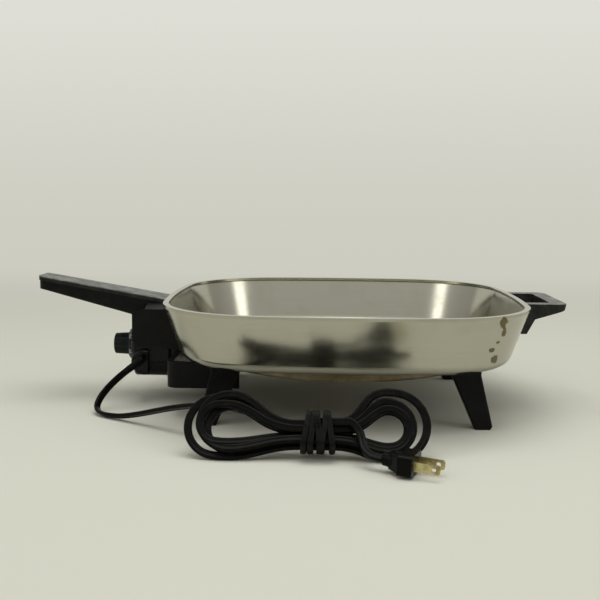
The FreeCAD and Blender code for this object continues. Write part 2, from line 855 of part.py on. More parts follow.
def probe_stem():
    """Sensing stem that slides into the probe well, with its domed end."""
    start = Vector(-nose_front_x - 14, 0, pin_height)
    end = Vector(-nose_front_x + stem_length, 0, pin_height)
    stem = rod(stem_radius, start, end)
    tip = [e for e in stem.Edges if abs(e.BoundBox.XMin - end.x) < 1e-4]
    return stem.makeFillet(stem_radius * 0.7, tip)


def switch_frame():
    """Insulating block inside the casing that carries the contacts."""
    x0 = -control_split_x + frame_setback
    low = rim_height - frame_low_drop
    high = low + frame_thickness
    block = box(x0, x0 + frame_depth, -frame_half, frame_half, low, high)
    legs = []
    for side in (-1, 1):
        middle, half = side * pin_spacing / 2, frame_depth * 0.4
        legs.append(box(x0, x0 + frame_depth * 0.6, middle - half, middle + half, high,
                        pin_height - frame_depth))
    seat = box(x0 + frame_depth, -control_back_x - control_wall, -frame_half / 2,
               frame_half / 2, low + frame_thickness / 9, high - frame_thickness / 3)
    return block.multiFuse(legs + [seat])


def contact_blade():
    """Sprung strip with a contact button, bent towards the cam."""
    x0 = -control_split_x + frame_setback - 1.2 * blade_strip
    low, high = rim_height - frame_low_drop + 1, dial_height + 7
    strip = box(x0, x0 + blade_strip, blade_y - 2, blade_y + 2, low, high)
    contact = Vector(x0, blade_y, high - 4)
    button = rod(1.8, contact - X_AXIS * 1.2, contact)
    return strip.fuse(button)


def dial_shaft():
    start = Vector(-control_face_x - skirt_gap - skirt_thickness - knob_length + 4, 0,
                   dial_height)
    end = Vector(-shaft_end_x, 0, dial_height)
    shaft = rod(shaft_radius, start, end)
    cam_start = Vector(-control_face_x + control_wall + 0.5, 0, dial_height)
    cam = rod(shaft_radius + 2.2, cam_start, cam_start + X_AXIS * 3)
    lobe = rod(shaft_radius, cam_start + Z_AXIS * 3.4, cam_start + Z_AXIS * 3.4 + X_AXIS * 3)
    return shaft.multiFuse([cam, lobe])


def dial_skirt():
    """Bevelled skirt that carries the heat scale."""
    right = Vector(-control_face_x - skirt_gap, 0, dial_height)
    rim = 1.4
    disc = rod(skirt_radius, right - X_AXIS * rim, right)
    cone = Part.makeCone(skirt_radius, skirt_front_radius, skirt_thickness - rim,
                         right - X_AXIS * rim, -X_AXIS)
    skirt = disc.fuse(cone)
    pocket = rod(skirt_radius - 2.2, right - X_AXIS * 2.0, right)
    skirt = skirt.cut(pocket)
    return skirt.cut(rod(shaft_radius, right - X_AXIS * 20, right))


def dial_knob():
    """Fluted grip on the end of the shaft."""
    right = Vector(-control_face_x - skirt_gap - skirt_thickness, 0, dial_height)
    knob = Part.makeCone(knob_radius, knob_tip_radius, knob_length, right, -X_AXIS)
    tip = [e for e in knob.Edges if abs(e.BoundBox.XMax - right.x + knob_length) < 1e-4]
    knob = knob.makeFillet(1.2, tip)
    flutes = []
    for index in range(knob_flutes):
        angle = 2 * math.pi * index / knob_flutes
        side = Vector(0, math.cos(angle), math.sin(angle))
        start = right + side * (knob_radius + 0.25) + X_AXIS
        end = right + side * (knob_tip_radius + 0.25) - X_AXIS * (knob_length + 1)
        flutes.append(rod(knob_flute_radius, start, end))
    knob = knob.cut(flutes)
    socket_end = right - X_AXIS * (knob_length - 4)
    return knob.cut(rod(shaft_radius, socket_end, right))


def control_screws():
    """Two long screws that hold the casing's halves together."""
    screws = []
    grip = control_face - control_back - control_wall - 1
    for place in case_screw_places():
        shank = rod(case_screw_radius, place - X_AXIS * grip, place)
        head = rod(2 * case_screw_radius, place, place + X_AXIS * case_screw_radius)
        rim = [e for e in head.Edges if abs(e.BoundBox.XMin - place.x) > 1e-3]
        head = head.makeFillet(case_screw_radius / 2, rim)
        screws.append(head.fuse(shank))
    return Part.makeCompound(screws)


# Cord
def strain_radius():
    return cord_diameter / 2 + strain_wall


def cord_boss_centre():
    """Middle of the boss's front face, low on the near side of the casing."""
    return Vector(-control_split_x - boss_setback, -control_half - boss_height,
                  rim_height - boss_drop)


def cord_exit():
    """Where the cord leaves the strain relief, and which way it points."""
    first, second = lead_points()[0], lead_points()[1]
    direction = (second - first).normalize()
    return first - direction * strain_setback, direction


def cord_home():
    """Point on the table below the boss, from which the cord's places are measured."""
    boss = cord_boss_centre()
    return Vector(boss.x, boss.y, 0)


def lead_points():
    """Route of the free cord from the control to the hank, chosen by hand."""
    home, drop = cord_home(), cord_boss_centre().z
    hanging = [(-5.5, -8, 0.986), (-13, -11.5, 0.836), (-21, -15.5, 0.644),
               (-27.5, -20, 0.452), (-31.5, -25.7, 0.279)]
    lying = [(-32.1, -33, 5.2), (-27.7, -41, 2.8), (-19, -48, 2.5), (-5.5, -56, 3.8),
             (13.5, -68, 9.5), (34.5, -83.5, 17.5), (57.5, -100, 24.5),
             (80.5, -116.5, 28.2), (102.5, -128.5, 27.0)]
    points = [home + Vector(x, y, share * drop) for x, y, share in hanging]
    points += [home + Vector(*place) for place in lying]
    return points + [hank_start() - X_AXIS * 17, hank_start()]


def tail_points():
    """Route of the cord from the hank's end to the plug, chosen by hand."""
    home, start = cord_home(), hank_finish()
    free = [(172.2, -149.9, 27.4), (176.3, -152.3, 24.6), (179, -155.5, 20.9),
            (180.1, -159.3, 17.0), (180.8, -164.3, 13.6), (183.4, -169.1, 11.0)]
    points = [start, start + X_AXIS * 5.6] + [home + Vector(*place) for place in free]
    return points + [plug_start() - plug_axis() * 6.2, plug_start()]


def cord_tube(points, label):
    """Tube along straight runs joined by tangent arcs as large as the runs allow."""
    edges, radii, length = [], [], 0.0
    here = points[0]
    for before, corner, after in zip(points, points[1:], points[2:]):
        run_in, run_out = corner - before, after - corner
        short = min(run_in.Length, run_out.Length)
        turn = run_in.getAngle(run_out)
        reach = 0.45 * short
        radius = reach / math.tan(turn / 2)
        start = corner - run_in.normalize() * reach
        end = corner + run_out.normalize() * reach
        inward = (run_out - run_in).normalize()
        middle = corner + inward * (radius / math.cos(turn / 2) - radius)
        edges.append(Part.makeLine(here, start))
        edges.append(Part.Arc(start, middle, end).toShape())
        radii.append(round(radius, 1))
        here = end
    edges.append(Part.makeLine(here, points[-1]))
    path = Part.Wire(edges)
    disc = Part.Wire(Part.makeCircle(cord_diameter / 2, points[0], points[1] - points[0]))
    solid = path.makePipeShell([disc], True, False)
    expected = math.pi * (cord_diameter / 2) ** 2 * path.Length
    print(label, "radii", radii)
    print(label, "length %.1f volume %.1f expected %.1f" % (path.Length, solid.Volume, expected))
    return solid


def cord_lead():
    return cord_tube(lead_points(), "cord_lead")


def cord_tail():
    return cord_tube(tail_points(), "cord_tail")


def hank_point(x, across, layer):
    """Point of the leaning hank: along the bundle, up its plane and out towards the front."""
    lean = math.radians(hank_lean)
    y = hank_base_y + across * math.sin(lean) - layer * math.cos(lean)
    z = across * math.cos(lean) + layer * math.sin(lean)
    return cord_home() + Vector(x, y, z)


def hank_floor():
    """Lowest wire centre in the hank's plane, resting on the table."""
    return cord_diameter / 2 / math.cos(math.radians(hank_lean)) + 0.05


def lobe_level(upper, ring, top):
    """Height of one wire in a lobe, counted inwards from the outside."""
    return top - ring * hank_pitch if upper else hank_floor() + ring * hank_pitch


def waist_level(upper, ring):
    """Height of the same wire where the tie draws the bundle in."""
    count = 2 * hank_depth_count - 1
    step = count - ring if upper else ring
    return hank_waist_floor + step * hank_pitch


def hank_passes():
    """Wires through the waist in order: upper or lower, ring and layer."""
    inward, outward = [], []
    for ring in range(hank_depth_count):
        inward += [(True, ring, 0), (False, ring, 0)]
    for ring in reversed(range(1, hank_depth_count)):
        outward.append((True, ring, 1))
        if ring > 1:
            outward.append((False, ring - 1, 1))
    return inward + outward


def hank_start():
    return hank_point(hank_waist_left, waist_level(True, 0), -hank_pitch)


def hank_finish():
    return hank_point(hank_waist_right, waist_level(True, 1), 2 * hank_pitch)


def s_bend(start, end, along, shift_radius):
    """Two arcs that leave and arrive along one direction; rings stay parallel."""
    span = (end - start).dot(along)
    drop = end - start - along * span
    if drop.Length < 1e-6:
        return [Part.makeLine(start, end)]
    total = (span ** 2 + drop.Length ** 2) / (2 * drop.Length)
    angle = 2 * math.atan2(drop.Length, span)
    side = drop / drop.Length
    first = total / 2 + shift_radius
    second = total - first
    edges = []
    knee = start + arc_step(first, angle, along, side)
    middle = start + arc_step(first, angle / 2, along, side)
    edges.append(Part.Arc(start, middle, knee).toShape())
    middle = end - arc_step(second, angle / 2, along, side)
    edges.append(Part.Arc(knee, middle, end).toShape())
    return edges


def arc_step(radius, angle, along, side):
    return along * (radius * math.sin(angle)) + side * (radius * (1 - math.cos(angle)))


def half_turn(start, end, outward):
    """Half circle between two wires, as two quarter arcs."""
    centre = (start + end) / 2
    radius = (end - start).Length / 2
    far = centre + outward * radius
    diagonal = math.sqrt(0.5)
    first = centre + ((start - centre) + outward * radius) * diagonal
    second = centre + ((end - centre) + outward * radius) * diagonal
    return [Part.Arc(start, first, far).toShape(), Part.Arc(far, second, end).toShape()]


def hank_path():
    """Unbroken wire of the whole hank, lobe by lobe."""
    passes = hank_passes()
    left = (hank_left_centre, hank_left_top, hank_waist_left)
    right = (hank_right_centre, hank_right_top, hank_waist_right)
    edges = []
    for index, (upper, ring, layer) in enumerate(passes):
        along = X_AXIS if upper else -X_AXIS
        entry, leave = (left, right) if upper else (right, left)
        waist = waist_level(upper, ring)
        shift = ring * hank_pitch
        waist_in = hank_point(entry[2], waist, layer * hank_pitch)
        waist_out = hank_point(leave[2], waist, layer * hank_pitch)
        if index == 0:
            edges += s_bend(hank_start(), waist_out, along, 0)
        else:
            edges += s_bend(here, waist_in, along, -shift)
            if index == len(passes) - 1:
                edges += s_bend(waist_in, hank_finish(), along, 0)
                break
            edges.append(Part.makeLine(waist_in, waist_out))
        next_upper, next_ring, next_layer = passes[index + 1]
        offset = next_layer * hank_pitch
        lobe_out = hank_point(leave[0], lobe_level(upper, ring, leave[1]), offset)
        edges += s_bend(waist_out, lobe_out, along, shift)
        here = hank_point(leave[0], lobe_level(next_upper, next_ring, leave[1]), offset)
        edges += half_turn(lobe_out, here, along)
    return Part.Wire(edges)


def self_gap(path, diameter, step):
    """Least gap of a wire to itself, between points that lie apart along it."""
    points = path.discretize(Distance=step)
    skip = int(3 * diameter / step)
    least = 1e9
    for i, first in enumerate(points):
        for second in points[i + skip:]:
            least = min(least, first.distanceToPoint(second))
    return least - diameter


def cord_hank():
    path = hank_path()
    start = hank_start()
    disc = Part.Wire(Part.makeCircle(cord_diameter / 2, start, X_AXIS))
    solid = path.makePipeShell([disc], True, False)
    expected = math.pi * (cord_diameter / 2) ** 2 * path.Length
    print("cord_hank length %.1f volume %.1f expected %.1f" % (path.Length, solid.Volume,
                                                               expected))
    print("cord_hank least self gap %.2f" % self_gap(path, cord_diameter, 1.5))
    return solid


def hank_tie():
    """Twisted tie round the bundle's waist, drawn as touching wraps."""
    low = waist_level(False, 0) - cord_diameter / 2 - seat_gap
    high = waist_level(True, 0) + cord_diameter / 2 + seat_gap
    back = -hank_pitch - cord_diameter / 2 - seat_gap
    front = 2 * hank_pitch + cord_diameter / 2 + seat_gap
    width = (hank_waist_right - hank_waist_left - 2) / tie_wraps
    wraps = []
    for index in range(tie_wraps):
        x0 = hank_waist_left + 1 + index * width
        wrap = box(x0, x0 + width, back - tie_wall, front + tie_wall, low - tie_wall,
                   high + tie_wall)
        corners = edges_along(wrap, X_AXIS, lambda p: True)
        wrap = wrap.makeFillet(tie_wall + 1.6, corners)
        ring = [e for e in wrap.Edges if e.BoundBox.XLength < 1e-6]
        wrap = wrap.makeFillet(min(tie_wall, width / 2) * 0.8, ring)
        bore = box(x0 - 1, x0 + width + 1, back, front, low, high)
        wraps.append(wrap.cut(bore))
    tie = wraps[0].multiFuse(wraps[1:])
    lean = math.radians(hank_lean)
    matrix = FreeCAD.Matrix()
    matrix.A22, matrix.A23 = -math.cos(lean), math.sin(lean)
    matrix.A32, matrix.A33 = math.sin(lean), math.cos(lean)
    matrix.A14, matrix.A24 = cord_home().x, cord_home().y + hank_base_y
    return tie.transformGeometry(matrix)


def strain_relief():
    """Ribbed sleeve between the cord boss and the cord."""
    direction = cord_exit()[1]
    end = lead_points()[0]
    return Part.makeCone(strain_radius(), cord_diameter / 2 + strain_wall * 0.56, strain_length,
                         end - direction * strain_length, direction)


# Plug
def plug_axis():
    return Vector(0.93, -0.36, -0.04).normalize()


def plug_start():
    return cord_home() + Vector(193.5, -175.2, 9.2)


def placed_on_plug(shape):
    """Turn a shape drawn along X onto the plug's axis."""
    axis = plug_axis()
    across = Z_AXIS.cross(axis).normalize()
    up = axis.cross(across)
    place = plug_start()
    matrix = FreeCAD.Matrix(axis.x, across.x, up.x, place.x, axis.y, across.y, up.y, place.y,
                            axis.z, across.z, up.z, place.z, 0, 0, 0, 1)
    moved = shape.copy()
    moved.Placement = FreeCAD.Placement(matrix)
    return moved


def plug_body():
    """Moulded two-blade plug that tapers to the cord."""
    width, height = plug_width / 2, plug_height / 2
    shoulder_x = plug_length * 0.55
    body = box(shoulder_x, plug_length, -width, width, -height, height)
    body = body.makeFillet(3.0, edges_along(body, X_AXIS, lambda p: True))
    cone = Part.makeCone(plug_neck_radius, height - 0.6, shoulder_x + 2, Vector(0, 0, 0), X_AXIS)
    wedge = prism([Vector(4, -plug_neck_radius * 0.6, -height + 1.5),
                   Vector(shoulder_x + 1, -width + 1, -height + 1.5),
                   Vector(shoulder_x + 1, width - 1, -height + 1.5),
                   Vector(4, plug_neck_radius * 0.6, -height + 1.5)],
                  Z_AXIS * (plug_height - 3))
    body = body.multiFuse([cone, wedge])
    for side in (-1, 1):
        slot = blade_block(side, plug_length - blade_root, blade_root)
        body = body.cut(slot)
    return placed_on_plug(body)


def blade_block(side, start, length):
    y = side * blade_spacing / 2
    half, wide = blade_thickness / 2, blade_width / 2
    return box(start, start + length, y - half, y + half, -wide, wide)


def plug_blades():
    blades = []
    for side in (-1, 1):
        blade = blade_block(side, plug_length - blade_root, blade_root + blade_length)
        tip = plug_length + blade_length
        corners = edges_along(blade, Y_AXIS, lambda p: p.x > tip - 1e-3)
        blade = blade.makeFillet(1.6, corners)
        hole = Vector(tip - blade_hole_setback, side * blade_spacing / 2 - 2, 0)
        blades.append(blade.cut(rod(blade_hole_radius, hole, hole + Y_AXIS * 4)))
    return placed_on_plug(Part.makeCompound(blades))


def main():
    os.makedirs("parts", exist_ok=True)
    export(pan_shell(), "pan_shell")
    export(heat_plate(), "heat_plate")
    export(heating_element(), "heating_element")
    export(probe_well(), "probe_well")
    export(terminal_pins(), "terminal_pins")
    export(terminal_bushings(), "terminal_bushings")
    for label, side in (("left", -1), ("right", 1)):
        export(leg(side), "leg_front_" + label)
        export(mirrored(leg(side)), "leg_rear_" + label)
    export(leg_brackets(), "leg_brackets")
    export(leg_screws(), "leg_screws")
    export(terminal_guard(), "terminal_guard")
    export(handle_body(), "handle_body")
    export(handle_cap(), "handle_cap")
    export(handle_bracket(), "handle_bracket")
    export(handle_screws(), "handle_screws")
    export(handle_nuts(), "handle_nuts")
    export(helper_handle(), "helper_handle")
    export(helper_screws(), "helper_screws")
    export(helper_studs(), "helper_studs")
    export(control_case(), "control_case")
    export(control_base(), "control_base")
    export(control_screws(), "control_screws")
    export(contact_sleeves(), "contact_sleeves")
    export(probe_stem(), "probe_stem")
    export(switch_frame(), "switch_frame")
    export(contact_blade(), "contact_blade")
    export(dial_shaft(), "dial_shaft")
    export(dial_skirt(), "dial_skirt")
    export(dial_knob(), "dial_knob")
    export(strain_relief(), "strain_relief")
    export(cord_lead(), "cord_lead")
    export(cord_hank(), "cord_hank")
    export(cord_tail(), "cord_tail")
    export(hank_tie(), "hank_tie")
    export(plug_body(), "plug_body")
    export(plug_blades(), "plug_blades")


main()
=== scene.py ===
import bmesh
import bpy
import json
import math
from mathutils import Matrix, Vector


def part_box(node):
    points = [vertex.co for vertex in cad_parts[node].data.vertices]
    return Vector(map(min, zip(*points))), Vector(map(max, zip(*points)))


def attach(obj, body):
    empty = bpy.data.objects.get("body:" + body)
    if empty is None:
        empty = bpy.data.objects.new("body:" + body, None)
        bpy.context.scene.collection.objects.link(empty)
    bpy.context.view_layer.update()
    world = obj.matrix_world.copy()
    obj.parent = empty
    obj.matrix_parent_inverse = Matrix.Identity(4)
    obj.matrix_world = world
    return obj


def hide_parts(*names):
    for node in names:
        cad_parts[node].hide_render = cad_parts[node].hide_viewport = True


# Electric skillet: square stainless pan on four black legs, a long worn handle, a helper
# handle and a plug-in heat control, with its flat lead folded into a tied hank in front.

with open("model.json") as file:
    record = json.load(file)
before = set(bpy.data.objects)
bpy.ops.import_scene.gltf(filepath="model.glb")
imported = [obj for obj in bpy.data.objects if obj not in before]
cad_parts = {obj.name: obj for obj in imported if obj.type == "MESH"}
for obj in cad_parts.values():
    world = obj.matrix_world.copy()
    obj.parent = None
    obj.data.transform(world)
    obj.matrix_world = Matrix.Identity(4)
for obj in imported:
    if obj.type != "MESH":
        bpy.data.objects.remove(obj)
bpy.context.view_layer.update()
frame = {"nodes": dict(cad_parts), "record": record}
nodes = frame["nodes"]

X = Vector((1, 0, 0))
Z = Vector((0, 0, 1))

pan_low, pan_high = (Vector(corner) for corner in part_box("pan_shell"))
case_low, case_high = (Vector(corner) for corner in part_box("control_case"))
skirt_low, skirt_high = (Vector(corner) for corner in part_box("dial_skirt"))
rim_centre = Vector(((pan_low.x + pan_high.x) / 2, 0, pan_high.z))

# Camera, placed from the rim's middle
camera_distance = 0.790
camera_height_angle = math.radians(6.6)
camera_side_angle = math.radians(1.4)
view_heading = math.radians(-1.4)
view_pitch = math.radians(-7.0)
view_roll = math.radians(0.55)
camera_lens = 54.0

# Flat two-core lead
cord_width = 0.0058
cord_thickness = 0.0036
tube_diameter = 0.0044
boss_setback = 0.0105
boss_level = 0.0365
groove_turn = math.pi / 2
groove_run = 4
hank_pitch = 0.0049
hank_lean = math.radians(35.0)
hank_base_y = -0.157
hank_left_centre, hank_right_centre = 0.0845, 0.2015
hank_left_top, hank_right_top = 0.054, 0.052
hank_waist_left, hank_waist_right = 0.1395, 0.1615
hank_waist_middle = 0.0205
hank_waist_pitch = 0.0036
lobe_spread = 0.0022
hank_rings = 3
lobe_lift = 0.0012
lobe_squeeze = 0.0006
lobe_steps = 6
lobe_reaches = (0.0, 0.003, -0.004, -0.005, -0.002, 0.002, -0.003, -0.004)
plug_place = (0.1935, -0.1752, 0.0092)
plug_heading = Vector((0.93, -0.36, -0.04)).normalized()

# Twist tie round the waist
tie_tilts = (0.0045, 0.0030, -0.0020, 0.0035, -0.0035)
tie_wall = 0.0020
tie_seat = 0.0003
tie_margin = 0.001
tie_corner = 0.0022
strand_radius = 0.0007
strand_twist = 0.0009
strand_rise = 0.0006
strand_turns = 9

# Strain relief
sleeve_root = 0.0085
sleeve_reach = 0.0120
sleeve_root_radius = 0.0037
sleeve_tip_radius = 0.0028
sleeve_rib = 0.90
sleeve_rib_spacing = 3

# Heat scale on the dial's skirt
scale_marks = ("200", "250", "300", "350", "400")
scale_start = math.radians(-110.0)
scale_end = math.radians(110.0)
scale_ticks = 21
ticks_per_long_one = 5
long_tick, short_tick = 0.0016, 0.0010
tick_width = 0.00028
tick_height = 0.00018
number_size = 0.0030
number_height = 0.00006
skirt_bevel = 0.0045
skirt_land = 0.0014

# Guard's skirt under the pan
guard_skin = 0.00015
guard_wall = 0.0050
guard_face_inset = 0.0370
guard_leg_lap = 0.0015
guard_pan_gap = 0.0016
guard_corner = 0.008
guard_edge = 0.0006

# Stains near the pan's right corner: how far right, half width, top and bottom
stains = ((0.1150, 0.0036, 0.0940, 0.0830), (0.1165, 0.0024, 0.0860, 0.0765),
          (0.1075, 0.0026, 0.0690, 0.0650), (0.1110, 0.0030, 0.0630, 0.0550),
          (0.1125, 0.0018, 0.0740, 0.0715))
stain_wander = 0.0060
stain_side = -0.08

# Stage
floor_colour = (0.60, 0.595, 0.530, 1.0)
low_tone = (0.605, 0.600, 0.530, 1.0)
high_tone = (0.735, 0.735, 0.675, 1.0)
tone_bottom, tone_top = -0.1, 0.95
glow_start, glow_full = 0.25, 1.3
cove_half_size = (5.0, 3.2, 1.0)
cove_shift = (0, -0.6, 0)
cove_height = 4.5
cove_bend = 1.4
sky_colour = (0.97, 0.98, 0.93, 1.0)
sky_bottom, sky_top = -0.05, 0.75
sky_strength, sky_rise = 0.235, 0.45
aim_height = 0.05
softboxes = (("top softbox", (0.1, -0.2, 1.6), (1.4, 1.2), 15.0, (1.0, 1.0, 0.97)),
             ("left softbox", (-1.5, -0.9, 1.0), (0.5, 1.0), 3.4, (1.0, 1.0, 0.98)),
             ("right softbox", (1.6, -0.7, 0.9), (0.5, 1.0), 3.4, (1.0, 1.0, 0.98)))


def in_scene(name, data):
    """New object in the scene for a mesh, curve, lamp or camera."""
    holder = bpy.data.objects.new(name, data)
    bpy.context.scene.collection.objects.link(holder)
    return holder


def mesh_from(form, name):
    """Mesh of a bmesh that needs no more work."""
    mesh = bpy.data.meshes.new(name)
    form.to_mesh(mesh)
    form.free()
    return mesh


def mesh_of_curve(holder):
    """Mesh of a curve or text as it is drawn; its object goes."""
    graph = bpy.context.evaluated_depsgraph_get()
    mesh = bpy.data.meshes.new_from_object(holder.evaluated_get(graph))
    bpy.data.objects.remove(holder)
    return mesh


def add_mesh(form, mesh):
    """Put a mesh into a bmesh and let the mesh go."""
    form.from_mesh(mesh)
    bpy.data.meshes.remove(mesh)


def finish_mesh(name, mesh, material, body):
    """Object for a finished mesh, with its finish and the body that carries it."""
    piece = in_scene(name, mesh)
    mesh.materials.clear()
    mesh.materials.append(material)
    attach(piece, body)
    return piece


# Shared effects
def effect_group(name, inputs, outputs):
    """Empty shader group with named number inputs and outputs."""
    tree = bpy.data.node_groups.new(name, "ShaderNodeTree")
    for label, value in inputs:
        socket = tree.interface.new_socket(name=label, in_out="INPUT",
                                           socket_type="NodeSocketFloat")
        socket.default_value = value
    for label in outputs:
        tree.interface.new_socket(name=label, in_out="OUTPUT", socket_type="NodeSocketFloat")
    return tree, tree.nodes.new("NodeGroupInput"), tree.nodes.new("NodeGroupOutput")


def object_space(tree):
    return tree.nodes.new("ShaderNodeTexCoord").outputs["Object"]


def maths(tree, operation, first, second=None, third=None, clamp=False):
    """One arithmetic node; each value is a number or another node's output."""
    node = tree.nodes.new("ShaderNodeMath")
    node.operation = operation
    node.use_clamp = clamp
    for socket, value in zip(node.inputs, (first, second, third)):
        if value is None:
            continue
        if isinstance(value, (int, float)):
            socket.default_value = value
        else:
            tree.links.new(value, socket)
    return node.outputs[0]


def noise(tree, place, scale, detail=4.0, roughness=0.55):
    node = tree.nodes.new("ShaderNodeTexNoise")
    node.inputs["Detail"].default_value = detail
    node.inputs["Roughness"].default_value = roughness
    tree.links.new(place, node.inputs["Vector"])
    if isinstance(scale, (int, float)):
        node.inputs["Scale"].default_value = scale
    else:
        tree.links.new(scale, node.inputs["Scale"])
    return node.outputs["Fac"]


def step_between(tree, value, low, high):
    """Smooth step of a value from nought at low to one at high."""
    node = tree.nodes.new("ShaderNodeMapRange")
    node.interpolation_type = "SMOOTHSTEP"
    tree.links.new(value, node.inputs["Value"])
    for label, edge in (("From Min", low), ("From Max", high)):
        if isinstance(edge, (int, float)):
            node.inputs[label].default_value = edge
        else:
            tree.links.new(edge, node.inputs[label])
    return node.outputs["Result"]


def make_grain():
    """Fine moulding or casting grain, as a height."""
    tree, start, end = effect_group("surface grain", [("Scale", 900.0), ("Coarse", 0.3)],
                                    ["Height"])
    place = object_space(tree)
    fine = noise(tree, place, start.outputs["Scale"], 3.0)
    wide_scale = maths(tree, "MULTIPLY", start.outputs["Scale"], 0.12)
    wide = noise(tree, place, wide_scale, 2.0)
    mixed = maths(tree, "MULTIPLY_ADD", wide, start.outputs["Coarse"], fine)
    tree.links.new(mixed, end.inputs["Height"])
    return tree


def make_brushing():
    """Streaks of a brushed sheet, drawn out round the pan."""
    tree, start, end = effect_group("brushed streaks", [("Fineness", 900.0)], ["Streak"])
    stretch = tree.nodes.new("ShaderNodeMapping")
    stretch.inputs["Scale"].default_value = (0.03, 0.03, 1.0)
    tree.links.new(object_space(tree), stretch.inputs["Vector"])
    streak = noise(tree, stretch.outputs["Vector"], start.outputs["Fineness"], 5.0, 0.7)
    tree.links.new(streak, end.inputs["Streak"])
    return tree


def make_smudge():
    """Broad uneven film, as on handled or cooked-on surfaces."""
    tree, start, end = effect_group("handled film", [("Scale", 30.0), ("Low", 0.45),
                                                     ("High", 0.7)], ["Film"])
    place = object_space(tree)
    cloud = noise(tree, place, start.outputs["Scale"], 6.0, 0.62)
    film = step_between(tree, cloud, start.outputs["Low"], start.outputs["High"])
    tree.links.new(film, end.inputs["Film"])
    return tree


def make_flecks():
    """Small scattered dust or grease flecks."""
    tree, start, end = effect_group("flecks", [("Scale", 220.0), ("Size", 0.08),
                                               ("Share", 0.62)], ["Fleck"])
    place = object_space(tree)
    cells = tree.nodes.new("ShaderNodeTexVoronoi")
    tree.links.new(place, cells.inputs["Vector"])
    tree.links.new(start.outputs["Scale"], cells.inputs["Scale"])
    spot = step_between(tree, cells.outputs["Distance"], start.outputs["Size"], 0.0)
    patch = noise(tree, place, maths(tree, "MULTIPLY", start.outputs["Scale"], 0.3), 2.0)
    chosen = maths(tree, "GREATER_THAN", patch, start.outputs["Share"])
    tree.links.new(maths(tree, "MULTIPLY", spot, chosen), end.inputs["Fleck"])
    return tree


def make_drip():
    """One run-down stain outside the near wall, between two heights."""
    tree, start, end = effect_group(
        "drip stain", [("Middle", 0.0), ("Width", 0.001), ("Top", 0.09), ("Bottom", 0.08)],
        ["Stain"])
    place = object_space(tree)
    split = tree.nodes.new("ShaderNodeSeparateXYZ")
    tree.links.new(place, split.inputs[0])
    facing = tree.nodes.new("ShaderNodeSeparateXYZ")
    tree.links.new(tree.nodes.new("ShaderNodeNewGeometry").outputs["Normal"],
                   facing.inputs[0])
    top, bottom = start.outputs["Top"], start.outputs["Bottom"]
    waver = maths(tree, "MULTIPLY_ADD", noise(tree, place, 320.0, 2.0), stain_wander,
                  -stain_wander / 2)
    across = maths(tree, "SUBTRACT", maths(tree, "ADD", split.outputs["X"], waver),
                   start.outputs["Middle"])
    reach = maths(tree, "DIVIDE", across, start.outputs["Width"])
    level = maths(tree, "MULTIPLY", maths(tree, "ADD", top, bottom), 0.5)
    half = maths(tree, "MULTIPLY", maths(tree, "SUBTRACT", top, bottom), 0.5)
    rise = maths(tree, "DIVIDE", maths(tree, "SUBTRACT", split.outputs["Z"], level), half)
    far = maths(tree, "ADD", maths(tree, "MULTIPLY", reach, reach),
                maths(tree, "MULTIPLY", rise, rise))
    near = maths(tree, "LESS_THAN", split.outputs["Y"], stain_side)
    outside = maths(tree, "LESS_THAN", facing.outputs["Y"], 0.0)
    run = maths(tree, "MULTIPLY", step_between(tree, far, 1.1, 0.5), near)
    tree.links.new(maths(tree, "MULTIPLY", run, outside), end.inputs["Stain"])
    return tree


GRAIN = make_grain()
BRUSHING = make_brushing()
SMUDGE = make_smudge()
FLECKS = make_flecks()
DRIP = make_drip()


# Finishes
class Finish:
    """One material and the nodes that shape it."""

    def __init__(self, name, colour, metallic, roughness, gloss=0.5):
        self.material = bpy.data.materials.new(name)
        self.material.use_nodes = True
        self.tree = self.material.node_tree
        self.shader = self.tree.nodes["Principled BSDF"]
        self.shader.inputs["Base Color"].default_value = (*colour, 1.0)
        self.shader.inputs["Metallic"].default_value = metallic
        self.shader.inputs["Roughness"].default_value = roughness
        self.shader.inputs["Specular IOR Level"].default_value = gloss
        self.colour = None
        self.base = colour

    def effect(self, group, output, **values):
        node = self.tree.nodes.new("ShaderNodeGroup")
        node.node_tree = group
        for label, value in values.items():
            node.inputs[label].default_value = value
        return node.outputs[output]

    def film(self, scale, low, high):
        return self.effect(SMUDGE, "Film", Scale=scale, Low=low, High=high)

    def flecks(self, scale, size, share):
        return self.effect(FLECKS, "Fleck", Scale=scale, Size=size, Share=share)

    def tint(self, mask, colour, share):
        """Mix another colour over what the surface has so far."""
        mix = self.tree.nodes.new("ShaderNodeMix")
        mix.data_type = "RGBA"
        mix.clamp_factor = True
        factor = maths(self.tree, "MULTIPLY", mask, share, clamp=True)
        self.tree.links.new(factor, mix.inputs["Factor"])
        if self.colour is None:
            mix.inputs[6].default_value = (*self.base, 1.0)
        else:
            self.tree.links.new(self.colour, mix.inputs[6])
        mix.inputs[7].default_value = (*colour, 1.0)
        self.colour = mix.outputs[2]
        self.tree.links.new(self.colour, self.shader.inputs["Base Color"])

    def vary(self, socket, mask, low, high):
        """A socket's value runs from low to high with a mask."""
        value = maths(self.tree, "MULTIPLY_ADD", mask, high - low, low)
        self.tree.links.new(value, self.shader.inputs[socket])

    def bump(self, height, strength, distance):
        node = self.tree.nodes.new("ShaderNodeBump")
        node.inputs["Strength"].default_value = strength
        node.inputs["Distance"].default_value = distance
        self.tree.links.new(height, node.inputs["Height"])
        self.tree.links.new(node.outputs["Normal"], self.shader.inputs["Normal"])

    def grain(self, scale, coarse, strength, distance):
        """Fine relief of a moulded, cast or rolled surface."""
        height = self.effect(GRAIN, "Height", Scale=scale, Coarse=coarse)
        self.bump(height, strength, distance)


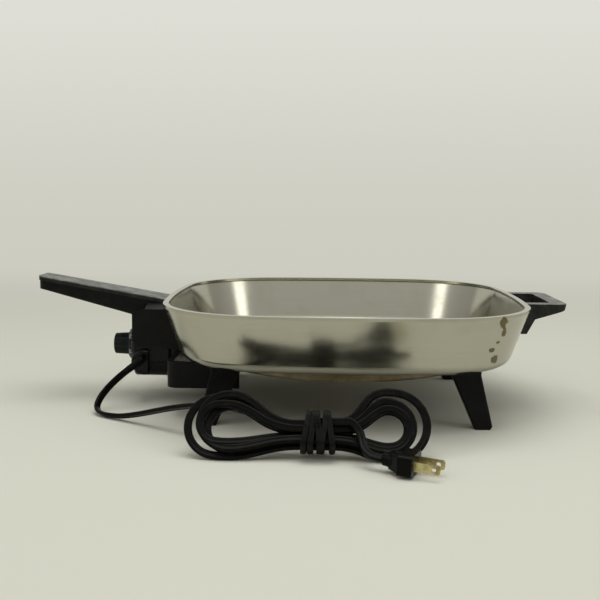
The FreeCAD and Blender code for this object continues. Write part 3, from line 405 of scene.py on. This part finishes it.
def upward(finish):
    """Mask of faces that look up, where dust and grease settle and where a painted sky sheen
    lightens the top.
    """
    tree = finish.tree
    split = tree.nodes.new("ShaderNodeSeparateXYZ")
    tree.links.new(tree.nodes.new("ShaderNodeNewGeometry").outputs["Normal"], split.inputs[0])
    return step_between(tree, split.outputs["Z"], 0.5, 0.95)


def stainless():
    """Brushed pan steel with water film, flecks and brown drips at its near right corner."""
    finish = Finish("pan stainless", (0.50, 0.485, 0.405), 1.0, 0.2)
    streak = finish.effect(BRUSHING, "Streak", Fineness=900.0)
    film = finish.film(scale=26.0, low=0.46, high=0.72)
    fleck = finish.flecks(scale=150.0, size=0.085, share=0.64)
    finish.tint(streak, (0.38, 0.37, 0.305), 0.55)
    finish.tint(film, (0.40, 0.375, 0.295), 0.45)
    finish.tint(fleck, (0.16, 0.125, 0.08), 0.75)
    for right, width, top, bottom in stains:
        stain = finish.effect(DRIP, "Stain", Middle=rim_centre.x + right, Width=width, Top=top,
                              Bottom=bottom)
        finish.tint(stain, (0.105, 0.076, 0.020), 0.9)
    finish.vary("Roughness", maths(finish.tree, "MULTIPLY_ADD", film, 0.5, streak), 0.12, 0.24)
    finish.bump(streak, 0.04, 0.0002)
    return finish.material


def cast_aluminium():
    """Cast heat plate, browned by years of heat and drips."""
    finish = Finish("browned aluminium", (0.30, 0.265, 0.18), 0.85, 0.42)
    brown = finish.film(scale=38.0, low=0.30, high=0.62)
    scorch = finish.film(scale=14.0, low=0.48, high=0.66)
    finish.tint(brown, (0.23, 0.165, 0.075), 0.85)
    finish.tint(scorch, (0.07, 0.048, 0.025), 0.75)
    finish.vary("Roughness", brown, 0.36, 0.58)
    finish.grain(scale=1300.0, coarse=0.6, strength=0.35, distance=0.0003)
    return finish.material


def sheath_steel():
    finish = Finish("element sheath", (0.20, 0.18, 0.16), 0.9, 0.45)
    finish.tint(finish.film(scale=60.0, low=0.4, high=0.7),
                (0.10, 0.07, 0.05), 0.8)
    finish.grain(scale=1500.0, coarse=0.3, strength=0.2, distance=0.0002)
    return finish.material


def plated_steel(name, colour, stain, roughness):
    """Small plated hardware with dull stained patches."""
    finish = Finish(name, colour, 1.0, roughness)
    film = finish.film(scale=140.0, low=0.42, high=0.7)
    finish.tint(film, stain, 0.8)
    finish.tint(finish.flecks(scale=600.0, size=0.16, share=0.55), stain, 0.7)
    finish.vary("Roughness", film, roughness, roughness + 0.22)
    finish.grain(scale=2200.0, coarse=0.2, strength=0.15, distance=0.0001)
    return finish.material


def ceramic():
    finish = Finish("white ceramic", (0.72, 0.69, 0.62), 0.0, 0.5)
    finish.tint(finish.film(scale=150.0, low=0.45, high=0.75),
                (0.40, 0.33, 0.24), 0.7)
    finish.grain(scale=3000.0, coarse=0.2, strength=0.2, distance=0.0001)
    return finish.material


def phenolic(name, colour, roughness, gloss, dust, haze):
    """Black moulded phenolic with a grey film where hands and heat have dulled it; faces that
    look up are lightened more, by dust and a painted sky sheen.
    """
    finish = Finish(name, colour, 0.0, roughness, gloss)
    film = finish.film(scale=110.0, low=0.32, high=0.72)
    fleck = finish.flecks(scale=420.0, size=0.13, share=0.56)
    dust_and_sheen = maths(finish.tree, "MULTIPLY", upward(finish), film)
    finish.tint(film, haze, 0.08)
    # faces that look up take the dust share: settled dust and a painted sheen of the sky
    finish.tint(dust_and_sheen, haze, dust)
    finish.tint(fleck, tuple(part * 1.6 for part in haze), 0.5)
    finish.vary("Roughness", film, roughness - 0.06, roughness + 0.14)
    finish.grain(scale=1500.0, coarse=0.5, strength=0.22, distance=0.0002)
    return finish.material


def cord_rubber():
    """Flat rubber lead with fine cloth-like grain and chalky rubbing."""
    finish = Finish("black cord rubber", (0.0030, 0.0029, 0.0024), 0.0, 0.27, 0.07)
    film = finish.film(scale=120.0, low=0.42, high=0.74)
    finish.tint(film, (0.0075, 0.0072, 0.0058), 0.7)
    finish.tint(finish.flecks(scale=700.0, size=0.12, share=0.58),
                (0.035, 0.033, 0.027), 0.3)
    finish.vary("Roughness", film, 0.19, 0.34)
    finish.grain(scale=2600.0, coarse=0.3, strength=0.3, distance=0.0001)
    return finish.material


def tie_plastic():
    finish = Finish("twist tie plastic", (0.0038, 0.0037, 0.0032), 0.0, 0.4, 0.08)
    film = finish.film(scale=260.0, low=0.40, high=0.70)
    finish.tint(film, (0.012, 0.0116, 0.010), 0.7)
    finish.vary("Roughness", film, 0.32, 0.5)
    finish.grain(scale=2400.0, coarse=0.6, strength=0.4, distance=0.0001)
    return finish.material


def scale_ink():
    finish = Finish("scale paint", (0.55, 0.60, 0.57), 0.0, 0.5)
    finish.tint(finish.film(scale=300.0, low=0.35, high=0.7),
                (0.22, 0.25, 0.24), 0.7)
    finish.grain(scale=3000.0, coarse=0.3, strength=0.2, distance=0.00005)
    return finish.material


FINISHES = {
    "stainless": stainless(),
    "plate_aluminium": cast_aluminium(),
    "element_sheath": sheath_steel(),
    "plated_pins": plated_steel("plated pin", (0.60, 0.58, 0.53), (0.25, 0.19, 0.12), 0.25),
    "bushing_ceramic": ceramic(),
    "black_phenolic": phenolic("leg phenolic", (0.0040, 0.0038, 0.0034), 0.34, 0.12, 0.20,
                               (0.040, 0.040, 0.034)),
    # the long handle's large dust share lightens its top with dust and a painted sky sheen
    "worn_phenolic": phenolic("handle phenolic", (0.0060, 0.0060, 0.0055), 0.38, 0.22, 0.85,
                              (0.250, 0.255, 0.235)),
    "control_phenolic": phenolic("control phenolic", (0.0030, 0.0032, 0.0028), 0.18, 0.16, 0.25,
                                 (0.040, 0.041, 0.036)),
    "dial_plastic": phenolic("dial plastic", (0.0040, 0.0075, 0.0070), 0.34, 0.18, 0.25,
                             (0.045, 0.055, 0.050)),
    "bracket_steel": plated_steel("bracket steel", (0.46, 0.45, 0.40), (0.20, 0.16, 0.11), 0.34),
    "screw_steel": plated_steel("screw steel", (0.48, 0.47, 0.44), (0.17, 0.13, 0.09), 0.32),
    "contact_brass": plated_steel("contact brass", (0.62, 0.44, 0.18), (0.24, 0.16, 0.07), 0.3),
    "cord_rubber": cord_rubber(),
    "tie_plastic": tie_plastic(),
    "blade_brass": plated_steel("blade brass", (0.60, 0.53, 0.28), (0.24, 0.19, 0.07), 0.3),
}


def finish_frame():
    """Each solid takes its slot's finish; the helper handle takes the long handle's finish,
    whose top is lightened by dust and a painted sky sheen.
    """
    slots = {}
    for entry in frame["record"]["subparts"]:
        slots[entry["node"]] = entry["material_slot"]
    for name, node in nodes.items():
        node.data.materials.clear()
        finish = "worn_phenolic" if name == "helper_handle" else slots[name]
        node.data.materials.append(FINISHES[finish])


# Lead, hank and plug
def cord_home():
    """Point on the table below the cord boss, from which the lead's places are measured."""
    return Vector((case_low.x + boss_setback, case_low.y, 0))


def hank_point(x, across, layer):
    """Point of the leaning hank: along the bundle, up its plane and out to the front."""
    y = hank_base_y + across * math.sin(hank_lean) - layer * math.cos(hank_lean)
    z = across * math.cos(hank_lean) + layer * math.sin(hank_lean)
    return cord_home() + Vector((x, y, z))


def lobe_level(upper, ring, top):
    """Height of one wire in a lobe, counted inwards; untied upper turns fan out."""
    floor = cord_thickness / 2 / math.cos(hank_lean) + lobe_lift
    if upper:
        return top - ring * (hank_pitch + lobe_spread)
    return floor + ring * (hank_pitch - lobe_squeeze)


def waist_level(upper, ring):
    """Height of the same wire where the tie draws the bundle in."""
    step = hank_rings - 0.5 - ring
    return hank_waist_middle + (step if upper else -step) * hank_waist_pitch


def hank_passes():
    """Wires through the waist in order: upper or lower, ring and layer."""
    inward, outward = [], []
    for ring in range(hank_rings):
        inward += [(True, ring, 0), (False, ring, 0)]
    for ring in reversed(range(1, hank_rings)):
        outward.append((True, ring, 1))
        if ring > 1:
            outward.append((False, ring - 1, 1))
    return inward + outward


def hank_start():
    return hank_point(hank_waist_left, waist_level(True, 0), -hank_pitch)


def hank_finish():
    return hank_point(hank_waist_right, waist_level(True, 1), 2 * hank_pitch)


def bend_corners(start, end, along, shift):
    """Two corners of the easy bend that takes one wire from the waist out to its lobe."""
    span = (end - start).dot(along)
    drop = (end - start - along * span).length
    if drop < 1e-6:
        return [(start + end) / 2]
    total = (span ** 2 + drop ** 2) / (2 * drop)
    half_tangent = drop / span
    first = total / 2 + shift
    return [start + along * first * half_tangent, end - along * (total - first) * half_tangent]


def lobe_corners(start, end, outward, reach):
    """Corners round a half turn between two wires; the reach lets a turn stand out."""
    centre = (start + end) / 2 + outward * reach
    radius = (end - start).length / 2
    corner = radius / math.cos(math.pi / lobe_steps / 2)
    up = (start - centre - outward * (start - centre).dot(outward)).normalized()
    points = []
    for index in range(lobe_steps):
        angle = math.pi * (index + 0.5) / lobe_steps
        points.append(centre + (up * math.cos(angle) + outward * math.sin(angle)) * corner)
    return points


def hank_corners():
    """Corners of the whole hank, lobe by lobe, with turns that differ a little in reach."""
    passes = hank_passes()
    left = (hank_left_centre, hank_left_top, hank_waist_left)
    right = (hank_right_centre, hank_right_top, hank_waist_right)
    points = []
    here = None
    for index, (upper, ring, layer) in enumerate(passes):
        along = X if upper else -X
        entry, leave = (left, right) if upper else (right, left)
        waist = waist_level(upper, ring)
        shift = ring * hank_pitch
        waist_in = hank_point(entry[2], waist, layer * hank_pitch)
        waist_out = hank_point(leave[2], waist, layer * hank_pitch)
        if index == 0:
            points += bend_corners(hank_start(), waist_out, along, 0)
        else:
            points += bend_corners(here, waist_in, along, -shift)
            if index == len(passes) - 1:
                points += bend_corners(waist_in, hank_finish(), along, 0)
                break
            points.append((waist_in + waist_out) / 2)
        next_upper, next_ring, next_layer = passes[index + 1]
        offset = next_layer * hank_pitch
        lobe_out = hank_point(leave[0], lobe_level(upper, ring, leave[1]), offset)
        points += bend_corners(waist_out, lobe_out, along, shift)
        here = hank_point(leave[0], lobe_level(next_upper, next_ring, leave[1]), offset)
        points += lobe_corners(lobe_out, here, along, lobe_reaches[index])
    return points


def lead_corners():
    """Route of the free lead from the control to the hank, given point by point."""
    home = cord_home()
    hanging = [(-0.0055, -0.008, 0.986), (-0.013, -0.0115, 0.836), (-0.021, -0.0155, 0.644),
               (-0.0275, -0.020, 0.452), (-0.0315, -0.0257, 0.279)]
    lying = [(-0.0321, -0.033, 0.0052), (-0.0277, -0.041, 0.0028), (-0.019, -0.048, 0.0025),
             (-0.0055, -0.056, 0.0038), (0.0135, -0.068, 0.0095), (0.0345, -0.0835, 0.0175),
             (0.0575, -0.100, 0.0245), (0.0805, -0.1165, 0.0282), (0.1025, -0.1285, 0.0270)]
    points = [home + Vector((x, y, share * boss_level)) for x, y, share in hanging]
    points += [home + Vector(place) for place in lying]
    return points + [hank_start() - X * 0.017, hank_start()]


def tail_corners():
    """Route of the cord from the hank's end to the plug, given point by point."""
    home, start = cord_home(), hank_finish()
    free = [(0.1722, -0.1499, 0.0274), (0.1763, -0.1523, 0.0246), (0.179, -0.1555, 0.0209),
            (0.1801, -0.1593, 0.0170), (0.1808, -0.1643, 0.0136), (0.1834, -0.1691, 0.0110)]
    points = [start, start + X * 0.0056] + [home + Vector(place) for place in free]
    plug = home + Vector(plug_place)
    return points + [plug - plug_heading * 0.0062, plug]


def smooth_line(name, points, closed=False):
    """Curve of one smooth spline with these points as its corners."""
    curve = bpy.data.curves.new(name, "CURVE")
    curve.dimensions = "3D"
    curve.resolution_u = 8
    curve.render_resolution_u = 8
    spline = curve.splines.new("NURBS")
    spline.points.add(len(points) - 1)
    for target, point in zip(spline.points, points):
        target.co = (*point, 1.0)
    spline.order_u = 3
    if closed:
        spline.use_cyclic_u = True
    else:
        spline.use_endpoint_u = True
    return curve


def line_points(curve):
    """Points that a curve runs through, in order along it."""
    holder = in_scene("line", curve)
    bpy.context.view_layer.update()
    mesh = bpy.data.meshes.new_from_object(holder)
    points = [vertex.co.copy() for vertex in mesh.vertices]
    bpy.data.objects.remove(holder)
    bpy.data.meshes.remove(mesh)
    return points


def closed_profile(name, points):
    """Flat closed curve that a lead, tie or sleeve is drawn out of."""
    curve = smooth_line(name, [Vector((x, y, 0)) for x, y in points], closed=True)
    curve.dimensions = "2D"
    curve.resolution_u = 2
    curve.render_resolution_u = 2
    return in_scene(name, curve)


def ring_points(half_wide, half_thick, count):
    steps = [2 * math.pi * index / count for index in range(count)]
    return [(half_wide * math.cos(angle), half_thick * math.sin(angle)) for angle in steps]


def twin_section():
    """Figure of eight: two round cores with a shallow groove on each flat side."""
    core = cord_thickness / 2
    offset = cord_width / 2 - core
    points = []
    for side in (1, -1):
        for degrees in (-66, -33, 0, 33, 66):
            angle = math.radians(degrees)
            points.append((side * (offset + core * 1.05 * math.cos(angle)),
                           side * core * 1.05 * math.sin(angle)))
        points.append((0.0, side * core * 0.70))
    return points


def drawn_mesh(name, curve, profile, caps=True):
    """Mesh of a profile drawn along a curve, with smooth shading."""
    curve.bevel_mode = "OBJECT"
    curve.bevel_object = profile
    curve.use_fill_caps = caps
    mesh = mesh_of_curve(in_scene(name + "_line", curve))
    mesh.name = name
    bpy.data.objects.remove(profile)
    form = bmesh.new()
    form.from_mesh(mesh)
    bmesh.ops.remove_doubles(form, verts=form.verts, dist=1e-6)
    bmesh.ops.recalc_face_normals(form, faces=form.faces)
    for face in form.faces:
        face.smooth = True
    form.to_mesh(mesh)
    form.free()
    return mesh


def make_lead():
    """Whole lead on one spline; its free stretch is turned so that the groove shows."""
    corners = lead_corners() + hank_corners() + tail_corners()[1:]
    path = line_points(smooth_line("route", corners))
    curve = smooth_line("lead", corners)
    free = len(lead_corners())
    for index, point in enumerate(curve.splines[0].points):
        point.tilt = groove_turn * min(1.0, max(0.0, (free - index) / groove_run))
    mesh = drawn_mesh("flat_lead", curve, closed_profile("twin", twin_section()))
    lead = finish_mesh("flat_lead", mesh, FINISHES["cord_rubber"], "control")
    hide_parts("cord_lead", "cord_hank", "cord_tail")
    return lead, path


def make_sleeve(path):
    """Tapered strain relief with ribs, on the lead's first stretch."""
    direction = (path[1] - path[0]).normalized()
    along = [path[0] - direction * sleeve_root] + [path[0] - direction * sleeve_root / 2]
    travelled = 0.0
    for before, after in zip(path, path[1:]):
        along.append(before)
        travelled += (after - before).length
        if travelled > sleeve_reach:
            break
    curve = smooth_line("sleeve_line", along)
    count = len(along)
    for index, point in enumerate(curve.splines[0].points):
        share = index / (count - 1)
        radius = sleeve_root_radius + (sleeve_tip_radius - sleeve_root_radius) * share
        rib = 1.0 if index % sleeve_rib_spacing else sleeve_rib
        point.radius = radius * rib / sleeve_root_radius
    profile = closed_profile("round", ring_points(sleeve_root_radius, sleeve_root_radius, 12))
    mesh = drawn_mesh("strain_sleeve", curve, profile)
    sleeve = finish_mesh("strain_sleeve", mesh, FINISHES["cord_rubber"], "control")
    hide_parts("strain_relief")
    return sleeve


def tie_loop(x, tilt):
    """Corners of one wrap round the bundle's waist, in the hank's plane."""
    reach = cord_width / 2 + tie_seat
    low, high = waist_level(False, 0) - reach, waist_level(True, 0) + reach
    back, front = -hank_pitch - reach, 2 * hank_pitch + reach
    cut = tie_corner
    outline = [(low, back + cut), (low, front - cut), (low + cut, front), (high - cut, front),
               (high, front - cut), (high, back + cut), (high - cut, back), (low + cut, back)]
    middle = (low + high) / 2
    points = []
    for index, (across, layer) in enumerate(outline):
        after_across, after_layer = outline[(index + 1) % len(outline)]
        lean = tilt * (across - middle) / (high - low)
        points.append(hank_point(x + lean, across, layer))
        between = (across + after_across) / 2
        lean = tilt * (between - middle) / (high - low)
        points.append(hank_point(x + lean, between, (layer + after_layer) / 2))
    return points


def make_tie():
    """Five close wraps of a plastic-coated tie and its twisted ends."""
    form = bmesh.new()
    pitch = (hank_waist_right - hank_waist_left - 2 * tie_margin) / len(tie_tilts)
    for index, tilt in enumerate(tie_tilts):
        x = hank_waist_left + tie_margin + pitch * (index + 0.5)
        curve = smooth_line("wrap", tie_loop(x, tilt), closed=True)
        profile = closed_profile("strap", ring_points(pitch * 0.55, tie_wall / 2, 12))
        add_mesh(form, drawn_mesh("wrap", curve, profile, caps=False))
    front = 2 * hank_pitch + tube_diameter / 2 + tie_wall
    waist = (waist_level(False, 0) + waist_level(True, 0)) / 2
    middle = (hank_waist_left + hank_waist_right) / 2
    for side in (-1, 1):
        ears = []
        for turn in range(strand_turns):
            angle = side * math.pi / 2 + turn * math.pi / 3
            ears.append(hank_point(middle + strand_twist * math.cos(angle),
                                   waist + strand_rise * turn + strand_twist * math.sin(angle),
                                   front + 0.0004 + 0.0002 * turn))
        profile = closed_profile("strand", ring_points(strand_radius, strand_radius, 8))
        add_mesh(form, drawn_mesh("strand", smooth_line("strand", ears), profile))
    tie = finish_mesh("wound_tie", mesh_from(form, "wound_tie"), FINISHES["tie_plastic"],
                      "control")
    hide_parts("hank_tie")
    return tie


# Heat scale
def skirt_place(angle, share, lift):
    """Point and frame on the skirt's bevel: share 0 at its rim, 1 at its front edge."""
    centre = Vector((0, (skirt_low.y + skirt_high.y) / 2, (skirt_low.z + skirt_high.z) / 2))
    rim_radius = (skirt_high.z - skirt_low.z) / 2
    front_radius = rim_radius - skirt_bevel
    rim_x, front_x = skirt_high.x - skirt_land, skirt_low.x
    outward = Vector((0, math.sin(angle), math.cos(angle)))
    slope = Vector((front_x - rim_x, 0, 0)) + outward * (front_radius - rim_radius)
    radius = rim_radius + (front_radius - rim_radius) * share
    place = centre + outward * radius + X * (rim_x + (front_x - rim_x) * share)
    inward = slope.normalized()
    across = X.cross(outward).normalized()
    normal = across.cross(inward).normalized()
    if normal.dot(outward) < 0:
        normal = -normal
    return place + normal * lift, inward, normal


def make_scale():
    """Painted ticks and heat numbers round the dial's skirt."""
    form = bmesh.new()
    for index in range(scale_ticks):
        share = index / (scale_ticks - 1)
        angle = scale_start + (scale_end - scale_start) * share
        is_long = index % ticks_per_long_one == 0
        place, inward, normal = skirt_place(angle, 0.20 if is_long else 0.13, 0.00006)
        size = (long_tick if is_long else short_tick, tick_width, tick_height)
        across = normal.cross(inward)
        turn = Matrix((inward, across, normal)).transposed().to_4x4()
        matrix = Matrix.Translation(place) @ turn @ Matrix.Diagonal((*size, 1))
        bmesh.ops.create_cube(form, size=1.0, matrix=matrix)
    for index, words in enumerate(scale_marks):
        angle = scale_start + (scale_end - scale_start) * index / (len(scale_marks) - 1)
        place, inward, normal = skirt_place(angle, 0.62, 0.00004)
        text = bpy.data.curves.new("number", "FONT")
        text.body = words
        text.size = number_size
        text.extrude = number_height
        text.align_x = "CENTER"
        text.align_y = "CENTER"
        mesh = mesh_of_curve(in_scene("number", text))
        up = -inward
        right = up.cross(normal)
        turn = Matrix((right, up, normal)).transposed().to_4x4()
        mesh.transform(Matrix.Translation(place) @ turn)
        add_mesh(form, mesh)
    finish_mesh("heat_scale", mesh_from(form, "heat_scale"), scale_ink(), "dial")


# Guard between the left legs
def make_guard_skirt():
    """Three-sided skirt that joins the left legs under the pan, over the guard's own foot."""
    low = Vector(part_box("terminal_guard")[0])
    leg_high = Vector(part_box("leg_front_left")[1])
    outer_x = low.x + guard_face_inset - guard_skin
    inner_x = leg_high.x - guard_leg_lap
    half = -leg_high.y + guard_skin
    base, top = low.z - guard_skin, pan_low.z - guard_pan_gap
    form = bmesh.new()
    bmesh.ops.create_cube(form, size=1.0)
    size = Vector((inner_x - outer_x, 2 * half, top - base))
    middle = Vector(((inner_x + outer_x) / 2, 0, (top + base) / 2))
    bmesh.ops.scale(form, vec=size, verts=form.verts)
    bmesh.ops.translate(form, vec=middle, verts=form.verts)
    corners = [edge for edge in form.edges
               if all(v.co.x < outer_x + guard_skin for v in edge.verts)
               and abs(edge.verts[0].co.z - edge.verts[1].co.z) > guard_wall]
    bmesh.ops.bevel(form, geom=corners, offset=guard_corner, segments=6, profile=0.5,
                    affect="EDGES", material=-1)
    gone = [face for face in form.faces
            if abs(face.normal.z) > 0.9 or face.normal.x > 0.9]
    bmesh.ops.delete(form, geom=gone, context="FACES")
    skirt = finish_mesh("guard_skirt", mesh_from(form, "guard_skirt"),
                        FINISHES["black_phenolic"], "skillet")
    shell = skirt.modifiers.new("wall", "SOLIDIFY")
    shell.thickness = guard_wall
    shell.offset = -1.0
    shell.use_even_offset = True
    round_edge = skirt.modifiers.new("edge", "BEVEL")
    round_edge.width = guard_edge
    round_edge.segments = 2
    round_edge.limit_method = "ANGLE"


# Stage
def make_cove():
    """Pale floor that sweeps up into a backdrop."""
    form = bmesh.new()
    bmesh.ops.create_grid(form, x_segments=1, y_segments=1, size=1.0)
    bmesh.ops.scale(form, vec=cove_half_size, verts=form.verts)
    bmesh.ops.translate(form, vec=cove_shift, verts=form.verts)
    far = [edge for edge in form.edges if all(v.co.y > 2.0 for v in edge.verts)]
    grown = bmesh.ops.extrude_edge_only(form, edges=far)
    raised = [v for v in grown["geom"] if isinstance(v, bmesh.types.BMVert)]
    bmesh.ops.translate(form, vec=(0, 0, cove_height), verts=raised)
    crease = [edge for edge in form.edges if len(edge.link_faces) == 2]
    bmesh.ops.bevel(form, geom=crease, offset=cove_bend, segments=24, profile=0.5,
                    affect="EDGES", material=-1)
    bmesh.ops.recalc_face_normals(form, faces=form.faces)
    for face in form.faces:
        face.smooth = True
    cove = in_scene("cove", mesh_from(form, "cove"))
    cove.data.materials.append(pale_paper())


def pale_paper():
    """Floor paper that keeps its shadow near by and an even pale tone far behind."""
    paper = bpy.data.materials.new("pale paper")
    paper.use_nodes = True
    tree = paper.node_tree
    shader = tree.nodes["Principled BSDF"]
    shader.inputs["Base Color"].default_value = floor_colour
    shader.inputs["Roughness"].default_value = 0.9
    shader.inputs["Specular IOR Level"].default_value = 0.1
    split = tree.nodes.new("ShaderNodeSeparateXYZ")
    tree.links.new(object_space(tree), split.inputs[0])
    tone = tree.nodes.new("ShaderNodeMix")
    tone.data_type = "RGBA"
    tone.inputs[6].default_value = low_tone
    tone.inputs[7].default_value = high_tone
    tree.links.new(step_between(tree, split.outputs["Z"], tone_bottom, tone_top),
                   tone.inputs["Factor"])
    glow = tree.nodes.new("ShaderNodeEmission")
    tree.links.new(tone.outputs[2], glow.inputs["Color"])
    path = tree.nodes.new("ShaderNodeLightPath")
    mirrored = maths(tree, "ADD", path.outputs["Is Glossy Ray"],
                     path.outputs["Is Transmission Ray"], clamp=True)
    seen = maths(tree, "ADD", path.outputs["Is Camera Ray"], mirrored, clamp=True)
    far = step_between(tree, split.outputs["Y"], glow_start, glow_full)
    blend = tree.nodes.new("ShaderNodeMixShader")
    tree.links.new(maths(tree, "MULTIPLY", seen, far), blend.inputs["Fac"])
    tree.links.new(shader.outputs[0], blend.inputs[1])
    tree.links.new(glow.outputs[0], blend.inputs[2])
    tree.links.new(blend.outputs[0], tree.nodes["Material Output"].inputs["Surface"])
    return paper


def soft_lamp(name, place, size, power, colour):
    """Area lamp aimed at the middle of the pan."""
    lamp = bpy.data.lights.new(name, "AREA")
    lamp.shape = "RECTANGLE"
    lamp.size, lamp.size_y = size
    lamp.energy = power
    lamp.color = colour
    holder = in_scene(name, lamp)
    holder.location = place
    aim = Vector((rim_centre.x, 0, aim_height)) - Vector(place)
    holder.rotation_euler = aim.to_track_quat("-Z", "Y").to_euler()


def light_stage():
    """Sky that brightens upwards, and the softboxes."""
    world = bpy.data.worlds.new("studio")
    bpy.context.scene.world = world
    world.use_nodes = True
    back = world.node_tree.nodes["Background"]
    back.inputs["Color"].default_value = sky_colour
    tree = world.node_tree
    split = tree.nodes.new("ShaderNodeSeparateXYZ")
    tree.links.new(tree.nodes.new("ShaderNodeTexCoord").outputs["Generated"], split.inputs[0])
    height = step_between(tree, split.outputs["Z"], sky_bottom, sky_top)
    tree.links.new(maths(tree, "MULTIPLY_ADD", height, sky_rise, sky_strength),
                   back.inputs["Strength"])
    for lamp in softboxes:
        soft_lamp(*lamp)


def make_camera():
    """Camera at the photograph's place, height and slight roll."""
    lens = bpy.data.cameras.new("camera")
    lens.lens = camera_lens
    lens.sensor_width = 36.0
    holder = in_scene("camera", lens)
    back = Vector((-math.sin(camera_side_angle) * math.cos(camera_height_angle),
                   -math.cos(camera_side_angle) * math.cos(camera_height_angle),
                   math.sin(camera_height_angle)))
    forward = Vector((math.sin(view_heading) * math.cos(view_pitch),
                      math.cos(view_heading) * math.cos(view_pitch), math.sin(view_pitch)))
    right = forward.cross(Z).normalized()
    up = right.cross(forward)
    turn = Matrix((right, up, -forward)).transposed().to_4x4()
    roll = Matrix.Rotation(view_roll, 4, "Z")
    holder.matrix_world = (Matrix.Translation(rim_centre + back * camera_distance) @ turn
                           @ roll)
    bpy.context.scene.camera = holder


def build():
    finish_frame()
    lead, path = make_lead()
    sleeve = make_sleeve(path)
    tie = make_tie()
    make_scale()
    make_guard_skirt()
    make_cove()
    light_stage()
    make_camera()
    bpy.context.scene.view_settings.view_transform = "Standard"


build()
